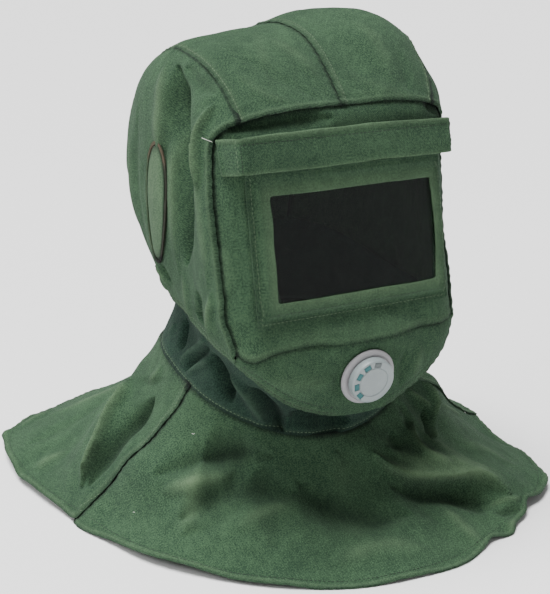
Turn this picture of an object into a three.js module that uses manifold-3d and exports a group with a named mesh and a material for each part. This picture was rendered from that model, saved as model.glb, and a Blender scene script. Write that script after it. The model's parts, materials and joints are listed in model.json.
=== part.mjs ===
// Sandblasting hood: a sewn canvas head bag with a glazed window in a cloth pocket, a breathing
// valve under the chin, an oval ear patch on each side, a neck and a wide shoulder cape.
// Millimetres, +Z up, the window faces -Y. The origin is on the inside of the crown, where a head
// carries the hood, and the cape's hem is the lowest edge.
import * as THREE from "three";
import { mergeVertices } from "three/addons/utils/BufferGeometryUtils.js";
import Module from "manifold-3d";

const wasm = await Module();
wasm.setup();

// Cloth and clearances
const CLOTH = 2.2;
const SEAM_GAP = 0.34;
const LAY_GAP = 0.4;

// Window, its glass, its pocket and the flap over the pocket's mouth
const WINDOW_WIDTH = 140;
const WINDOW_HEIGHT = 81;
const GLASS_THICKNESS = 3;
const GLASS_LAP = 7;
const POCKET_MARGIN = 17.5;
const POCKET_RIGHT_MARGIN = 19;
const POCKET_LEFT_MARGIN = 10;
const POCKET_CLOTH = 1.6;
const FLAP_HEIGHT = 27;
const FLAP_CENTRE_UP = 72;
const FLAP_RIGHT_INSET = 10;
const FLAP_LEFT_INSET = 5;
const FLAP_STAND = 8.5;
const FLAP_CLOTH = 2.6;

// Head bag, measured from the middle of the window
const HALF_WIDTH = WINDOW_WIDTH / 2 + 49;
const CROWN_RISE = WINDOW_HEIGHT / 2 + 114.5;
const CHIN_DROP = WINDOW_HEIGHT / 2 + 39.5;
const FRONT_REACH = 125;
const BACK_REACH = 126;
const FRONT_LEAN = 10.9;
const EAR_WIDTH_SHARE_LEFT = 0.96;
const FLAT_DEPTH = 12;
const FLAT_MARGIN = 9;

// Breathing valve
const VALVE_DROP = 111.5;
const VALVE_ASIDE = 2.5;
const VALVE_RADIUS = 23.8;
const VALVE_RIM = 3.4;
const VALVE_NECK_RADIUS = 16;
const VALVE_HOLE_GAP = 0.4;
const CAP_RADIUS = 18.8;
const CAP_STAND = 7;
const CAP_EDGE = 1;
const MARK_RADIUS = 15;
const MARK_LENGTH = 5.6;
const MARK_WIDTH = 4;
const MARK_DEPTH = 0.9;
const MARK_GAP = 0.25;
const MARK_COUNT = 5;
const MARK_FIRST = -8;
const MARK_STEP = 35;

// Ear patches
const EAR_HALF_HEIGHT = 48;
const EAR_HALF_WIDTH = 15.5;
const EAR_FORWARD = 13;
const EAR_UP = 17;
const EAR_BINDING = 4;
const EAR_CLOTH = 1.4;
const BINDING_CLOTH = 2.4;

// Neck and cape
const NECK_TUCK = 7;
const NECK_HALF_WIDTH = 105;
const NECK_FRONT = 100;
const NECK_BACK = 101;
const NECK_FRONT_DROP = 176;
const NECK_BACK_DROP = 123;
const NECK_ROUNDNESS = 2.3;
const NECK_DIP = 2.6;
const NECK_WAIST = 0.13;
const NECK_ROWS = [0.3, 0.6, 0.85, 1];
const HEM_DROP = 252;
const HEM_REACH = 220;
const HEM_TURN = 14;
const HEM_CLOTH = 3;

// How finely round things and the cape are faceted
const ROUND_STEPS = 24;
const CAPE_STEPS = { across: 28, down: 8 };
const NORMAL_STEP = 0.02;

// Middle line of the head bag from the chin up over the crown and down to the nape. Reach is a share
// of the front or back reach and rise a share of the crown's rise or the chin's drop. Right and left
// are the bag's half widths there as shares, and square is how boxy it is from side to side.
const HEAD_LINE = [
  { reach: -0.78, rise: -1.8, right: 0.93, left: 0.92, square: 3.6 },
  { reach: -0.97, rise: -1.36, right: 0.96, left: 0.91, square: 4.6 },
  { reach: -1.0, rise: -0.99, right: 0.98, left: 0.87, square: 7 },
  { reach: -1.0, rise: -0.38, right: 0.98, left: 0.835, square: 7 },
  { reach: -1.0, rise: 0.001, right: 0.98, left: 0.82, square: 7 },
  { reach: -1.0, rise: 0.32, right: 0.97, left: 0.83, square: 7 },
  { reach: -0.97, rise: 0.632, right: 0.94, left: 0.87, square: 6.5 },
  { reach: -0.82, rise: 0.77, right: 0.95, left: 0.92, square: 6 },
  { reach: -0.54, rise: 0.93, right: 0.97, left: 0.94, square: 4.4 },
  { reach: 0.02, rise: 0.985, right: 1.0, left: 0.95, square: 3.8 },
  { reach: 0.48, rise: 0.88, right: 1.03, left: 0.96, square: 3.6 },
  { reach: 0.86, rise: 0.57, right: 1.03, left: 0.97, square: 3.1 },
  { reach: 1.0, rise: 0.12, right: 1.0, left: 0.95, square: 2.8 },
  { reach: 0.95, rise: -0.4, right: 0.95, left: 0.92, square: 2.7 },
  { reach: 0.84, rise: -0.8, right: 0.9, left: 0.88, square: 2.7 },
  { reach: 0.45, rise: -1.5, right: 0.88, left: 0.86, square: 3 },
  { reach: -0.15, rise: -1.9, right: 0.88, left: 0.86, square: 3 },
  { reach: -0.5, rise: -1.95, right: 0.9, left: 0.86, square: 3.2 },
];

// Seams of one half of the head bag, from which the other half is mirrored. Out is a share of the
// bag's half width there, reach and rise are shares as in the head line, and each row is laid onto
// the bag's skin. Steps is how many chords the seam is sewn in, alike for the two panels it joins.
const SEAMS = {
  forehead: {
    steps: 6,
    rows: [
      { out: 0, reach: -0.95, rise: 0.64 },
      { out: 0.4, reach: -0.95, rise: 0.63 },
      { out: 0.78, reach: -0.95, rise: 0.605 },
    ],
  },
  foreheadCorner: {
    steps: 2,
    rows: [
      { out: 0.78, reach: -0.95, rise: 0.605 },
      { out: 0.97, reach: -0.88, rise: 0.55 },
    ],
  },
  crownSide: {
    steps: 13,
    rows: [
      { out: 0.78, reach: -0.95, rise: 0.605 },
      { out: 0.78, reach: -0.78, rise: 0.75 },
      { out: 0.76, reach: -0.3, rise: 0.87 },
      { out: 0.75, reach: 0.12, rise: 0.87 },
      { out: 0.73, reach: 0.52, rise: 0.72 },
    ],
  },
  backSide: {
    steps: 16,
    rows: [
      { out: 0.73, reach: 0.52, rise: 0.72 },
      { out: 0.68, reach: 0.78, rise: 0.35 },
      { out: 0.62, reach: 0.86, rise: -0.1 },
      { out: 0.58, reach: 0.82, rise: -0.66 },
    ],
  },
  middle: {
    steps: 29,
    rows: [
      { out: 0, reach: -0.95, rise: 0.64 },
      { out: 0, reach: -0.63, rise: 0.77 },
      { out: 0, reach: -0.2, rise: 0.97 },
      { out: 0, reach: 0.3, rise: 0.95 },
      { out: 0, reach: 0.8, rise: 0.62 },
      { out: 0, reach: 1.0, rise: 0.0 },
      { out: 0, reach: 0.86, rise: -0.7 },
    ],
  },
  frontSide: {
    steps: 10,
    rows: [
      { out: 0.97, reach: -0.88, rise: 0.55 },
      { out: 0.985, reach: -0.9, rise: 0.25 },
      { out: 0.985, reach: -0.92, rise: 0.001 },
      { out: 0.98, reach: -0.93, rise: -0.5 },
      { out: 0.95, reach: -0.97, rise: -0.98 },
    ],
  },
  chinTop: {
    steps: 8,
    rows: [
      { out: 0, reach: -1.05, rise: -0.99 },
      { out: 0.55, reach: -1.05, rise: -0.99 },
      { out: 0.8, reach: -1.05, rise: -1.03 },
      { out: 0.95, reach: -0.97, rise: -0.98 },
    ],
  },
  chinEnd: {
    steps: 4,
    rows: [
      { out: 0.95, reach: -0.97, rise: -0.98 },
      { out: 0.955, reach: -0.9, rise: -1.15 },
    ],
  },
  chinLow: {
    steps: 8,
    rows: [
      { out: 0, reach: -0.8, rise: -1.8 },
      { out: 0.4, reach: -0.85, rise: -1.72 },
      { out: 0.76, reach: -0.93, rise: -1.45 },
      { out: 0.955, reach: -0.9, rise: -1.15 },
    ],
  },
  sideLow: {
    steps: 13,
    rows: [
      { out: 0.955, reach: -0.9, rise: -1.15 },
      { out: 0.97, reach: -0.5, rise: -1.0 },
      { out: 0.92, reach: 0.0, rise: -0.82 },
      { out: 0.8, reach: 0.5, rise: -0.7 },
      { out: 0.58, reach: 0.82, rise: -0.66 },
    ],
  },
  napeLow: {
    steps: 6,
    rows: [
      { out: 0, reach: 0.86, rise: -0.7 },
      { out: 0.28, reach: 0.86, rise: -0.69 },
      { out: 0.58, reach: 0.82, rise: -0.66 },
    ],
  },
};

// Folds and swells of the head bag. Each runs between two places, spreads by its width and lifts the
// cloth by its height. The places are shares as above and the rest are shares of the half width.
const HEAD_FOLDS = [
  // the left crown panel stands up beside the middle seam, the right one lies lower
  { a: [0.62, -0.62, 0.86], b: [0.42, 0.25, 0.95], width: 0.4, height: 0.12 },
  { a: [-0.42, -0.2, 0.95], b: [-0.4, 0.3, 0.9], width: 0.36, height: -0.05 },
  // the deep upright valley of the right side panel and the roll in front of it
  { a: [-0.97, -0.42, 0.62], b: [-0.97, -0.45, -0.5], width: 0.14, height: -0.07 },
  { a: [-0.95, -0.7, 0.6], b: [-0.97, -0.72, -0.7], width: 0.12, height: 0.03 },
  { a: [-0.93, 0.25, 0.75], b: [-0.98, 0.45, -0.1], width: 0.2, height: 0.03 },
  { a: [0.97, -0.42, 0.62], b: [0.97, -0.4, -0.4], width: 0.15, height: -0.04 },
  { a: [0.93, 0.25, 0.75], b: [0.98, 0.5, -0.2], width: 0.22, height: 0.03 },
  // the jaw draws in below the ears
  { a: [-0.9, 0.25, -0.85], b: [-0.75, 0.6, -0.8], width: 0.22, height: -0.05 },
  { a: [0.9, 0.25, -0.85], b: [0.75, 0.6, -0.8], width: 0.22, height: -0.05 },
];

// How the cape runs from the neck seam to the hem, as shares of the way out and the way down
const CAPE_SLOPE = [
  { along: 0, out: 0, down: 0 },
  { along: 0.2, out: 0.12, down: 0.26 },
  { along: 0.4, out: 0.3, down: 0.5 },
  { along: 0.6, out: 0.53, down: 0.71 },
  { along: 0.8, out: 0.77, down: 0.88 },
  { along: 1, out: 1, down: 1 },
];

// The hem's distance from the middle and its lift, as shares of its reach and its drop. Turn is in
// degrees from the front, towards the wearer's left.
const HEM_LINE = [
  { turn: -169, reach: 1.21, lift: 0 },
  { turn: -148, reach: 1.2, lift: 0.01 },
  { turn: -131, reach: 1.25, lift: 0.015 },
  { turn: -112, reach: 1.08, lift: 0.025 },
  { turn: -88, reach: 0.9, lift: 0.0 },
  { turn: -60, reach: 0.885, lift: 0.012 },
  { turn: -29, reach: 0.905, lift: 0.0 },
  { turn: 5, reach: 0.975, lift: 0.0 },
  { turn: 31, reach: 1.0, lift: 0.0 },
  { turn: 53, reach: 1.085, lift: 0.015 },
  { turn: 73, reach: 1.05, lift: 0.01 },
  { turn: 95, reach: 1.03, lift: 0.02 },
  { turn: 120, reach: 1.09, lift: 0.01 },
  { turn: 145, reach: 1.17, lift: 0.01 },
];

// Side seams of the cape, in degrees from the front, at the neck seam and at the hem
const CAPE_SEAM_RIGHT = { neck: -74, hem: -88 };
const CAPE_SEAM_LEFT = { neck: 80, hem: 92 };

// Folds of the cape, from one turn and share of the way down to another. Widths and heights are
// shares of the hem's reach.
const CAPE_FOLDS = [
  // the long ridge over the left of the chest, with the hollow below it
  { turn: [12, 30], along: [0.2, 0.45], width: 0.07, height: 0.05 },
  { turn: [32, 46], along: [0.46, 0.82], width: 0.07, height: 0.06 },
  { turn: [12, 38], along: [0.4, 0.68], width: 0.09, height: -0.05 },
  // crumples below the left of the chin
  { turn: [76, 60], along: [0.1, 0.35], width: 0.075, height: 0.045 },
  { turn: [50, 54], along: [0.05, 0.32], width: 0.075, height: -0.035 },
  { turn: [40, 42], along: [0.1, 0.36], width: 0.07, height: 0.03 },
  // the hollow below the chin and the ridge that runs from it to the right shoulder
  { turn: [-40, -4], along: [0.3, 0.5], width: 0.12, height: -0.045 },
  { turn: [-78, -44], along: [0.62, 0.3], width: 0.09, height: 0.035 },
  { turn: [-86, -82], along: [0.35, 0.75], width: 0.07, height: -0.03 },
  // the sharp ridge behind the right shoulder and the back's hollow behind it
  { turn: [-120, -96], along: [0.38, 0.85], width: 0.09, height: 0.05 },
  { turn: [-142, -112], along: [0.3, 0.85], width: 0.13, height: -0.05 },
  { turn: [-158, -150], along: [0.1, 1.0], width: 0.12, height: 0.03 },
  { turn: [96, 90], along: [0.1, 0.9], width: 0.11, height: 0.035 },
  { turn: [122, 116], along: [0.1, 0.9], width: 0.14, height: -0.035 },
  { turn: [152, 148], along: [0.1, 1.0], width: 0.13, height: 0.03 },
  { turn: [176, 178], along: [0.1, 0.9], width: 0.12, height: -0.03 },
];

// Gathers of the neck, at a turn in degrees from the front. Heights are shares of its half width.
const NECK_FOLDS = [
  { at: -150, spread: 12, height: 0.05 },
  { at: -118, spread: 8, height: 0.06 },
  { at: -92, spread: 9, height: -0.06 },
  { at: -66, spread: 8, height: 0.05 },
  { at: -40, spread: 10, height: -0.04 },
  { at: 44, spread: 10, height: -0.04 },
  { at: 68, spread: 8, height: 0.05 },
  { at: 95, spread: 9, height: -0.05 },
  { at: 122, spread: 9, height: 0.05 },
  { at: 160, spread: 12, height: -0.04 },
];

const CANVAS = { color: 0x3d6447, roughness: 0.95 };
const NECK_CANVAS = { color: 0x34553f, roughness: 0.95 };
const PATCH_CLOTH = { color: 0x5b7d5e, roughness: 0.95 };
const BINDING = { color: 0x5b5a44, roughness: 0.95 };
const RIM_PLASTIC = { color: 0xb9bab8, roughness: 0.4 };
const CAP_PLASTIC = { color: 0xc6c9ca, roughness: 0.35 };
const TEAL_MARK = { color: 0x0f7f80, roughness: 0.5 };
const GREY_MARK = { color: 0x7d8886, roughness: 0.5 };
const GLASS = { color: 0xbfc9c6, roughness: 0.05, transparent: true, opacity: 0.3 };

const { degToRad, radToDeg, smoothstep } = THREE.MathUtils;
const vec = (x, y, z) => new THREE.Vector3(x, y, z);
const mix = (a, b, t) => a + (b - a) * t;
const range = (count) => Array.from({ length: count }, (_, i) => i);
const leanSlope = Math.tan(degToRad(FRONT_LEAN));

// Smooth value between four rows of a table with uneven keys.
function hermite([k0, v0], [k1, v1], [k2, v2], [k3, v3], key) {
  const t = (key - k1) / (k2 - k1);
  const m1 = ((v2 - v0) / (k2 - k0)) * (k2 - k1);
  const m2 = ((v3 - v1) / (k3 - k1)) * (k2 - k1);
  const [t2, t3] = [t * t, t * t * t];
  return (2 * t3 - 3 * t2 + 1) * v1 + (t3 - 2 * t2 + t) * m1 + (3 * t2 - 2 * t3) * v2 + (t3 - t2) * m2;
}

// One column of a table that repeats every 360 degrees of turn, read at any turn.
function readRound(rows, column, turn) {
  const at = (i) => {
    const lap = Math.floor(i / rows.length);
    const row = rows[i - lap * rows.length];
    return [row.turn + lap * 360, row[column]];
  };
  const start = rows[0].turn;
  const wrapped = start + ((((turn - start) % 360) + 360) % 360);
  let i = 0;
  while (at(i + 1)[0] <= wrapped) i++;
  return hermite(at(i - 1), at(i), at(i + 1), at(i + 2), wrapped);
}

// One column of a table with two ends, read between them.
function readAlong(rows, column, along) {
  const at = (i) => [rows[i].along, rows[i][column]];
  const past = ([k0, v0], [k1, v1]) => [2 * k0 - k1, 2 * v0 - v1];
  let i = 0;
  while (i < rows.length - 2 && rows[i + 1].along <= along) i++;
  const before = i > 0 ? at(i - 1) : past(at(i), at(i + 1));
  const after = i < rows.length - 2 ? at(i + 2) : past(at(i + 1), at(i));
  return hermite(before, at(i), at(i + 1), after, along);
}

// How much a list of folds lifts the cloth at a point
function foldLift(point, folds) {
  const near = vec(0, 0, 0);
  return folds.reduce((lift, { line, width, height }) => {
    const away = line.closestPointToPoint(point, true, near).distanceTo(point) / width;
    return lift + height * Math.exp(-away * away);
  }, 0);
}

// The head line's places on the middle plane, the front leaning back towards the brow
function middlePlace(reach, rise) {
  const z = rise * (rise > 0 ? CROWN_RISE : CHIN_DROP);
  const y = reach < 0 ? reach * FRONT_REACH + z * leanSlope : reach * BACK_REACH;
  return { y, z };
}

// Turns run about the side-to-side axis: 0 is the front and 90 the crown.
const sideTurn = ({ y, z }) => radToDeg(Math.atan2(z, -y));

const headRound = HEAD_LINE.map(({ reach, rise, ...row }) => {
  const { y, z } = middlePlace(reach, rise);
  return { ...row, turn: sideTurn({ y, z }), radius: Math.hypot(y, z) };
});
for (const row of headRound.slice(1)) {
  if (row.turn < headRound[0].turn) row.turn += 360;
}

// The bag's half width on one side at a turn
const widthAt = (turn, side) => HALF_WIDTH * readRound(headRound, side < 0 ? "right" : "left", turn);
const earWidth = (side) => HALF_WIDTH * (side < 0 ? 1 : EAR_WIDTH_SHARE_LEFT);

// The bag's skin, before folds, in the direction of a vector from the middle of the bag. Near the
// ears the width no longer depends on the turn, so that all turns meet there.
function bagSkin(direction) {
  const across = Math.hypot(direction.y, direction.z);
  const turn = sideTurn(direction);
  const radius = readRound(headRound, "radius", turn);
  const square = readRound(headRound, "square", turn);
  const share = smoothstep(across / direction.length(), 0.2, 0.78);
  const width = mix(earWidth(direction.x), widthAt(turn, direction.x), share);
  const scale = (Math.abs(direction.x / width) ** square + (across / radius) ** square) ** (-1 / square);
  return direction.clone().multiplyScalar(scale);
}

// A place on the skin from its shares
function place(out, reach, rise) {
  const { y, z } = middlePlace(reach, rise);
  return bagSkin(vec(out * widthAt(sideTurn({ y, z }), out), y, z));
}

const headFolds = HEAD_FOLDS.map(({ a, b, width, height }) => ({
  line: new THREE.Line3(place(...a), place(...b)),
  width: width * HALF_WIDTH,
  height: height * HALF_WIDTH,
}));

function foldedSkin(direction) {
  const skin = bagSkin(direction);
  return skin.addScaledVector(skin.clone().normalize(), foldLift(skin, headFolds));
}

// The way a surface faces, from points a little apart across and along it
const facing = (a, b, c, d) => b.sub(a).cross(d.sub(c)).normalize();

// A point of a bag surface and the way that it faces there
function surfaceAt(surface, direction) {
  const d = direction.clone().normalize();
  const u = vec(0, -d.z, d.y).normalize();
  const w = d.clone().cross(u);
  const near = (along, step) => surface(d.clone().addScaledVector(along, step));
  const [back, on] = [-NORMAL_STEP, NORMAL_STEP];
  return { point: surface(d), normal: facing(near(u, back), near(u, on), near(w, back), near(w, on)) };
}

// The seats of the window and the valve: local Y points out of the cloth, Z up and X to the right
// hand of the wearer
function seatAt(point, normal) {
  const across = vec(-1, 0, 0);
  return new THREE.Matrix4().makeBasis(across, normal, across.clone().cross(normal)).setPosition(point);
}

const lean = degToRad(FRONT_LEAN);
const windowSeat = seatAt(vec(0, -FRONT_REACH, 0), vec(0, -Math.cos(lean), Math.sin(lean)));

const valveReach = FRONT_REACH + VALVE_DROP * leanSlope;
const valvePlace = surfaceAt(foldedSkin, vec(VALVE_ASIDE, -valveReach, -VALVE_DROP));
valvePlace.normal.setX(0).normalize();
const valveSeat = seatAt(valvePlace.point, valvePlace.normal);

// The pocket round the window, wider on the wearer's right
const pocket = {
  middle: (POCKET_RIGHT_MARGIN - POCKET_LEFT_MARGIN) / 2,
  halfWide: (WINDOW_WIDTH + POCKET_RIGHT_MARGIN + POCKET_LEFT_MARGIN) / 2,
  halfHigh: WINDOW_HEIGHT / 2 + POCKET_MARGIN,
};

// Where the cloth lies flat: behind the window's pocket and between the valve's flanges
const valveFlat = VALVE_RADIUS + FLAT_MARGIN;
const flats = [
  { seat: windowSeat, ...pocket, halfHigh: pocket.halfHigh + FLAT_MARGIN, fade: 1.08 },
  { seat: valveSeat, middle: 0, halfWide: valveFlat, halfHigh: valveFlat, fade: 1.3 },
].map((flat) => ({ ...flat, inverse: flat.seat.clone().invert() }));

// The bag's outer face
function bagFace(direction) {
  const point = foldedSkin(direction);
  for (const { seat, inverse, middle, halfWide, halfHigh, fade } of flats) {
    const local = point.clone().applyMatrix4(inverse);
    const away = Math.hypot(((local.x - middle) / halfWide) ** 3, (local.z / halfHigh) ** 3) ** (1 / 3);
    const deep = smoothstep(Math.abs(local.y), FLAT_DEPTH, 2 * FLAT_DEPTH);
    local.y *= Math.max(smoothstep(away, 1, fade), deep);
    point.copy(local.applyMatrix4(seat));
  }
  return point;
}

const bagAt = (direction) => surfaceAt(bagFace, direction);

// The points of each seam, alike for both panels that it joins
const seamPoints = (name, side) => {
  const { steps, rows } = SEAMS[name];
  const curve = new THREE.CatmullRomCurve3(
    rows.map(({ out, reach, rise }) => place(out * side, reach, rise)),
    false,
    "centripetal",
  );
  curve.arcLengthDivisions = 100;
  return curve.getSpacedPoints(steps);
};
const seams = Object.fromEntries(
  Object.keys(SEAMS).map((name) => [name, { right: seamPoints(name, -1), left: seamPoints(name, 1) }]),
);
const joined = (...lines) => lines.flatMap((line, i) => (i ? line.slice(1) : line));
const backwards = (line) => [...line].reverse();
// A seam that runs from the right side to the left
const acrossBoth = (...names) => {
  const half = (side) => joined(...names.map((name) => seams[name][side]));
  return joined(backwards(half("right")), half("left"));
};

// A closed solid between an outer and an inner grid of points, rows by columns. A closed grid's last
// column meets its first.
function gridSolid(outer, inner, closed = false) {
  const [rows, columns] = [outer.length, outer[0].length];
  const points = [...outer.flat(), ...inner.flat()];
  const at = (layer, i, j) => (layer * rows + i) * columns + (j % columns);
  const faces = [];
  const quad = (a, b, c, d) => faces.push(a, b, c, a, c, d);
  const spans = closed ? columns : columns - 1;
  for (let j = 0; j < spans; j++) {
    for (let i = 0; i < rows - 1; i++) {
      quad(at(0, i, j), at(0, i, j + 1), at(0, i + 1, j + 1), at(0, i + 1, j));
      quad(at(1, i, j), at(1, i + 1, j), at(1, i + 1, j + 1), at(1, i, j + 1));
    }
    quad(at(0, 0, j), at(1, 0, j), at(1, 0, j + 1), at(0, 0, j + 1));
    quad(at(0, rows - 1, j), at(0, rows - 1, j + 1), at(1, rows - 1, j + 1), at(1, rows - 1, j));
  }
  for (let i = 0; i < rows - 1 && !closed; i++) {
    quad(at(0, i, 0), at(0, i + 1, 0), at(1, i + 1, 0), at(1, i, 0));
    quad(at(0, i, spans), at(1, i, spans), at(1, i + 1, spans), at(0, i + 1, spans));
  }
  return faceOut(points, faces);
}

// A geometry from points and faces, its faces turned outwards whichever way its grid ran
function faceOut(points, faces) {
  const volume = range(faces.length / 3).reduce((sum, i) => {
    const [a, b, c] = faces.slice(3 * i, 3 * i + 3).map((corner) => points[corner]);
    return sum + a.dot(b.clone().cross(c));
  }, 0);
  if (volume < 0) faces.reverse();
  const geometry = new THREE.BufferGeometry().setFromPoints(points);
  geometry.setIndex(faces);
  return geometry;
}

// A grid's edges drawn in, so that it stays clear of its neighbours
function drawIn(grid, by) {
  const [last, end] = [grid.length - 1, grid[0].length - 1];
  const shift = (from, to) => to.point.clone().sub(from.point).setLength(by);
  const moves = [];
  grid.forEach((row) => {
    moves.push([row[0], shift(row[0], row[1])]);
    moves.push([row[end], shift(row[end], row[end - 1])]);
  });
  grid[0].forEach((from, j) => moves.push([from, shift(from, grid[1][j])]));
  grid[last].forEach((from, j) => moves.push([from, shift(from, grid[last - 1][j])]));
  for (const [from, move] of moves) from.point.add(move);
}

// The grid of a sewn panel of the bag inside four seams, a blend of the seams laid onto the bag
function panelGrid({ top, low, start, end }) {
  const [across, down] = [top.length - 1, start.length - 1];
  const corners = [start[0], end[0], start[down], end[down]];
  return start.map((_, i) =>
    top.map((__, j) => {
      const [u, v] = [j / across, i / down];
      const p = vec(0, 0, 0).addScaledVector(top[j], 1 - v).addScaledVector(low[j], v);
      p.addScaledVector(start[i], 1 - u).addScaledVector(end[i], u);
      p.addScaledVector(corners[0], -(1 - u) * (1 - v)).addScaledVector(corners[1], -u * (1 - v));
      p.addScaledVector(corners[2], -(1 - u) * v).addScaledVector(corners[3], -u * v);
      return bagAt(p);
    }),
  );
}

// The cloth under a grid of points and the ways that they face
function clothSolid(grid, thick = () => CLOTH) {
  const inner = grid.map((row, i) => row.map((s) => s.point.clone().addScaledVector(s.normal, -thick(i))));
  return gridSolid(grid.map((row) => row.map((s) => s.point)), inner);
}

// The four seams of each panel of the bag
const panelEdges = {
  front: {
    top: acrossBoth("forehead", "foreheadCorner"),
    low: acrossBoth("chinTop"),
    start: seams.frontSide.right,
    end: seams.frontSide.left,
  },
  chin: {
    top: acrossBoth("chinTop"),
    low: acrossBoth("chinLow"),
    start: seams.chinEnd.right,
    end: seams.chinEnd.left,
  },
};
for (const side of ["right", "left"]) {
  panelEdges["crown_" + side] = {
    top: seams.forehead[side],
    low: seams.napeLow[side],
    start: seams.middle[side],
    end: joined(seams.crownSide[side], seams.backSide[side]),
  };
  panelEdges["side_" + side] = {
    top: seams.crownSide[side],
    low: seams.sideLow[side],
    start: joined(seams.foreheadCorner[side], seams.frontSide[side], seams.chinEnd[side]),
    end: seams.backSide[side],
  };
}

function bagPanel(name) {
  const grid = panelGrid(panelEdges[name]);
  drawIn(grid, SEAM_GAP / 2);
  return clothSolid(grid);
}

// A geometry as a solid for cutting, and back
function solidOf(geometry) {
  const bare = new THREE.BufferGeometry();
  bare.setAttribute("position", geometry.getAttribute("position"));
  bare.setIndex(geometry.index);
  const merged = mergeVertices(bare, 1e-4);
  return new wasm.Manifold(
    new wasm.Mesh({
      numProp: 3,
      vertProperties: new Float32Array(merged.getAttribute("position").array),
      triVerts: new Uint32Array(merged.index.array),
    }),
  );
}

function geometryOf(solid) {
  const { vertProperties, triVerts } = solid.getMesh();
  const geometry = new THREE.BufferGeometry();
  geometry.setAttribute("position", new THREE.Float32BufferAttribute(vertProperties, 3));
  geometry.setIndex(Array.from(triVerts));
  return geometry;
}

const cut = (geometry, ...tools) =>
  geometryOf(tools.reduce((solid, tool) => solid.subtract(solidOf(tool)), solidOf(geometry)));

function frontPanel() {
  const opening = new THREE.BoxGeometry(WINDOW_WIDTH, FRONT_REACH / 2, WINDOW_HEIGHT);
  return cut(bagPanel("front"), opening.applyMatrix4(windowSeat));
}

function chinPanel() {
  const radius = VALVE_NECK_RADIUS + VALVE_HOLE_GAP;
  const hole = new THREE.CylinderGeometry(radius, radius, VALVE_DROP / 2, ROUND_STEPS);
  return cut(bagPanel("chin"), hole.applyMatrix4(valveSeat));
}

// The glass lies on the front panel under the pocket, whose opening holds it in by its lap
const glassTop = LAY_GAP + GLASS_THICKNESS;
const pocketTop = glassTop + LAY_GAP + POCKET_CLOTH;

const windowGlass = () =>
  new THREE.BoxGeometry(WINDOW_WIDTH + 2 * GLASS_LAP, GLASS_THICKNESS, WINDOW_HEIGHT + 2 * GLASS_LAP)
    .translate(0, LAY_GAP + GLASS_THICKNESS / 2, 0)
    .applyMatrix4(windowSeat);

// Points round a rectangle in even steps, so that two rectangles match side by side
function rectangle(halfWide, halfHigh, perWide, perHigh) {
  const corners = [
    [-1, -1],
    [1, -1],
    [1, 1],
    [-1, 1],
  ].map(([x, z]) => new THREE.Vector2(x * halfWide, z * halfHigh));
  return corners.flatMap((from, i) => {
    const count = i % 2 ? perHigh : perWide;
    return range(count).map((j) => from.clone().lerp(corners[(i + 1) % 4], j / count));
  });
}

function windowPocket() {
  const lap = GLASS_LAP + 2 * LAY_GAP;
  const inside = { x: WINDOW_WIDTH / 2, z: WINDOW_HEIGHT / 2 };
  const bands = [
    { wider: 0, share: 0, height: glassTop + LAY_GAP },
    { wider: lap, share: 0, height: glassTop + LAY_GAP },
    { wider: lap, share: 0.5, height: LAY_GAP },
    { wider: lap, share: 1, height: LAY_GAP },
  ];
  const layer = (thick) =>
    bands.map(({ wider, share, height }) => {
      const halfWide = mix(inside.x + wider, pocket.halfWide, share);
      const halfHigh = mix(inside.z + wider, pocket.halfHigh, share);
      return rectangle(halfWide, halfHigh, 9, 6).map(({ x, y }) =>
        vec(x + pocket.middle * share, height + thick, y).applyMatrix4(windowSeat),
      );
    });
  return gridSolid(layer(POCKET_CLOTH), layer(0), true);
}

// How far the bag stands proud of the window's plane at a place on it, found by halving
function proudOfWindow(x, z) {
  let [inside, outside] = [-HALF_WIDTH / 2, FLAT_DEPTH];
  while (outside - inside > SEAM_GAP / 10) {
    const middle = (inside + outside) / 2;
    const at = vec(-x, middle, z).applyMatrix4(windowSeat);
    if (bagFace(at).length() > at.length()) inside = middle;
    else outside = middle;
  }
  return outside;
}

// The brow flap stands proud, and only its two ends come down to the front panel. Its columns lie
// closer together towards the ends.
function browFlap() {
  const [acrossSteps, upSteps] = [16, 3];
  const browTurn = sideTurn(middlePlace(-1, FLAP_CENTRE_UP / CROWN_RISE));
  const right = FLAP_RIGHT_INSET - widthAt(browTurn, -1);
  const left = widthAt(browTurn, 1) - FLAP_LEFT_INSET;
  const stand = Math.max(pocketTop + LAY_GAP, FLAP_STAND);
  const layer = (thick) =>
    range(upSteps + 1).map((i) =>
      range(acrossSteps + 1).map((j) => {
        const across = -Math.cos((Math.PI * j) / acrossSteps);
        const x = mix(right, left, (across + 1) / 2);
        const z = FLAP_CENTRE_UP + (i / upSteps - 0.5) * FLAP_HEIGHT;
        const end = smoothstep(Math.abs(across), 0.92, 0.98);
        const height = mix(stand, proudOfWindow(x, z) + LAY_GAP, end);
        return vec(-x, height + thick, z).applyMatrix4(windowSeat);
      }),
    );
  return gridSolid(layer(FLAP_CLOTH), layer(0));
}

// A place in an ear's oval, at a distance across and up from its middle, lifted off the side panel
function onEar(side, across, up, lift) {
  const out = side === "right" ? -1 : 1;
  const { point, normal } = bagAt(vec(out * earWidth(out), across - EAR_FORWARD, EAR_UP + up));
  return point.addScaledVector(normal, lift);
}

// The patch fills the oval with upright rows, and the binding is a ring round it
function earPatch(side) {
  const [acrossSteps, upSteps] = [4, 9];
  const layer = (lift) =>
    range(upSteps + 1).map((i) =>
      range(acrossSteps + 1).map((j) => {
        const turn = degToRad(mix(-76, 76, i / upSteps));
        const half = Math.cos(turn) * (EAR_HALF_WIDTH - SEAM_GAP);
        const up = Math.sin(turn) * (EAR_HALF_HEIGHT - SEAM_GAP);
        return onEar(side, mix(-half, half, j / acrossSteps), up, lift);
      }),
    );
  return gridSolid(layer(LAY_GAP + EAR_CLOTH), layer(LAY_GAP));
}

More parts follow.
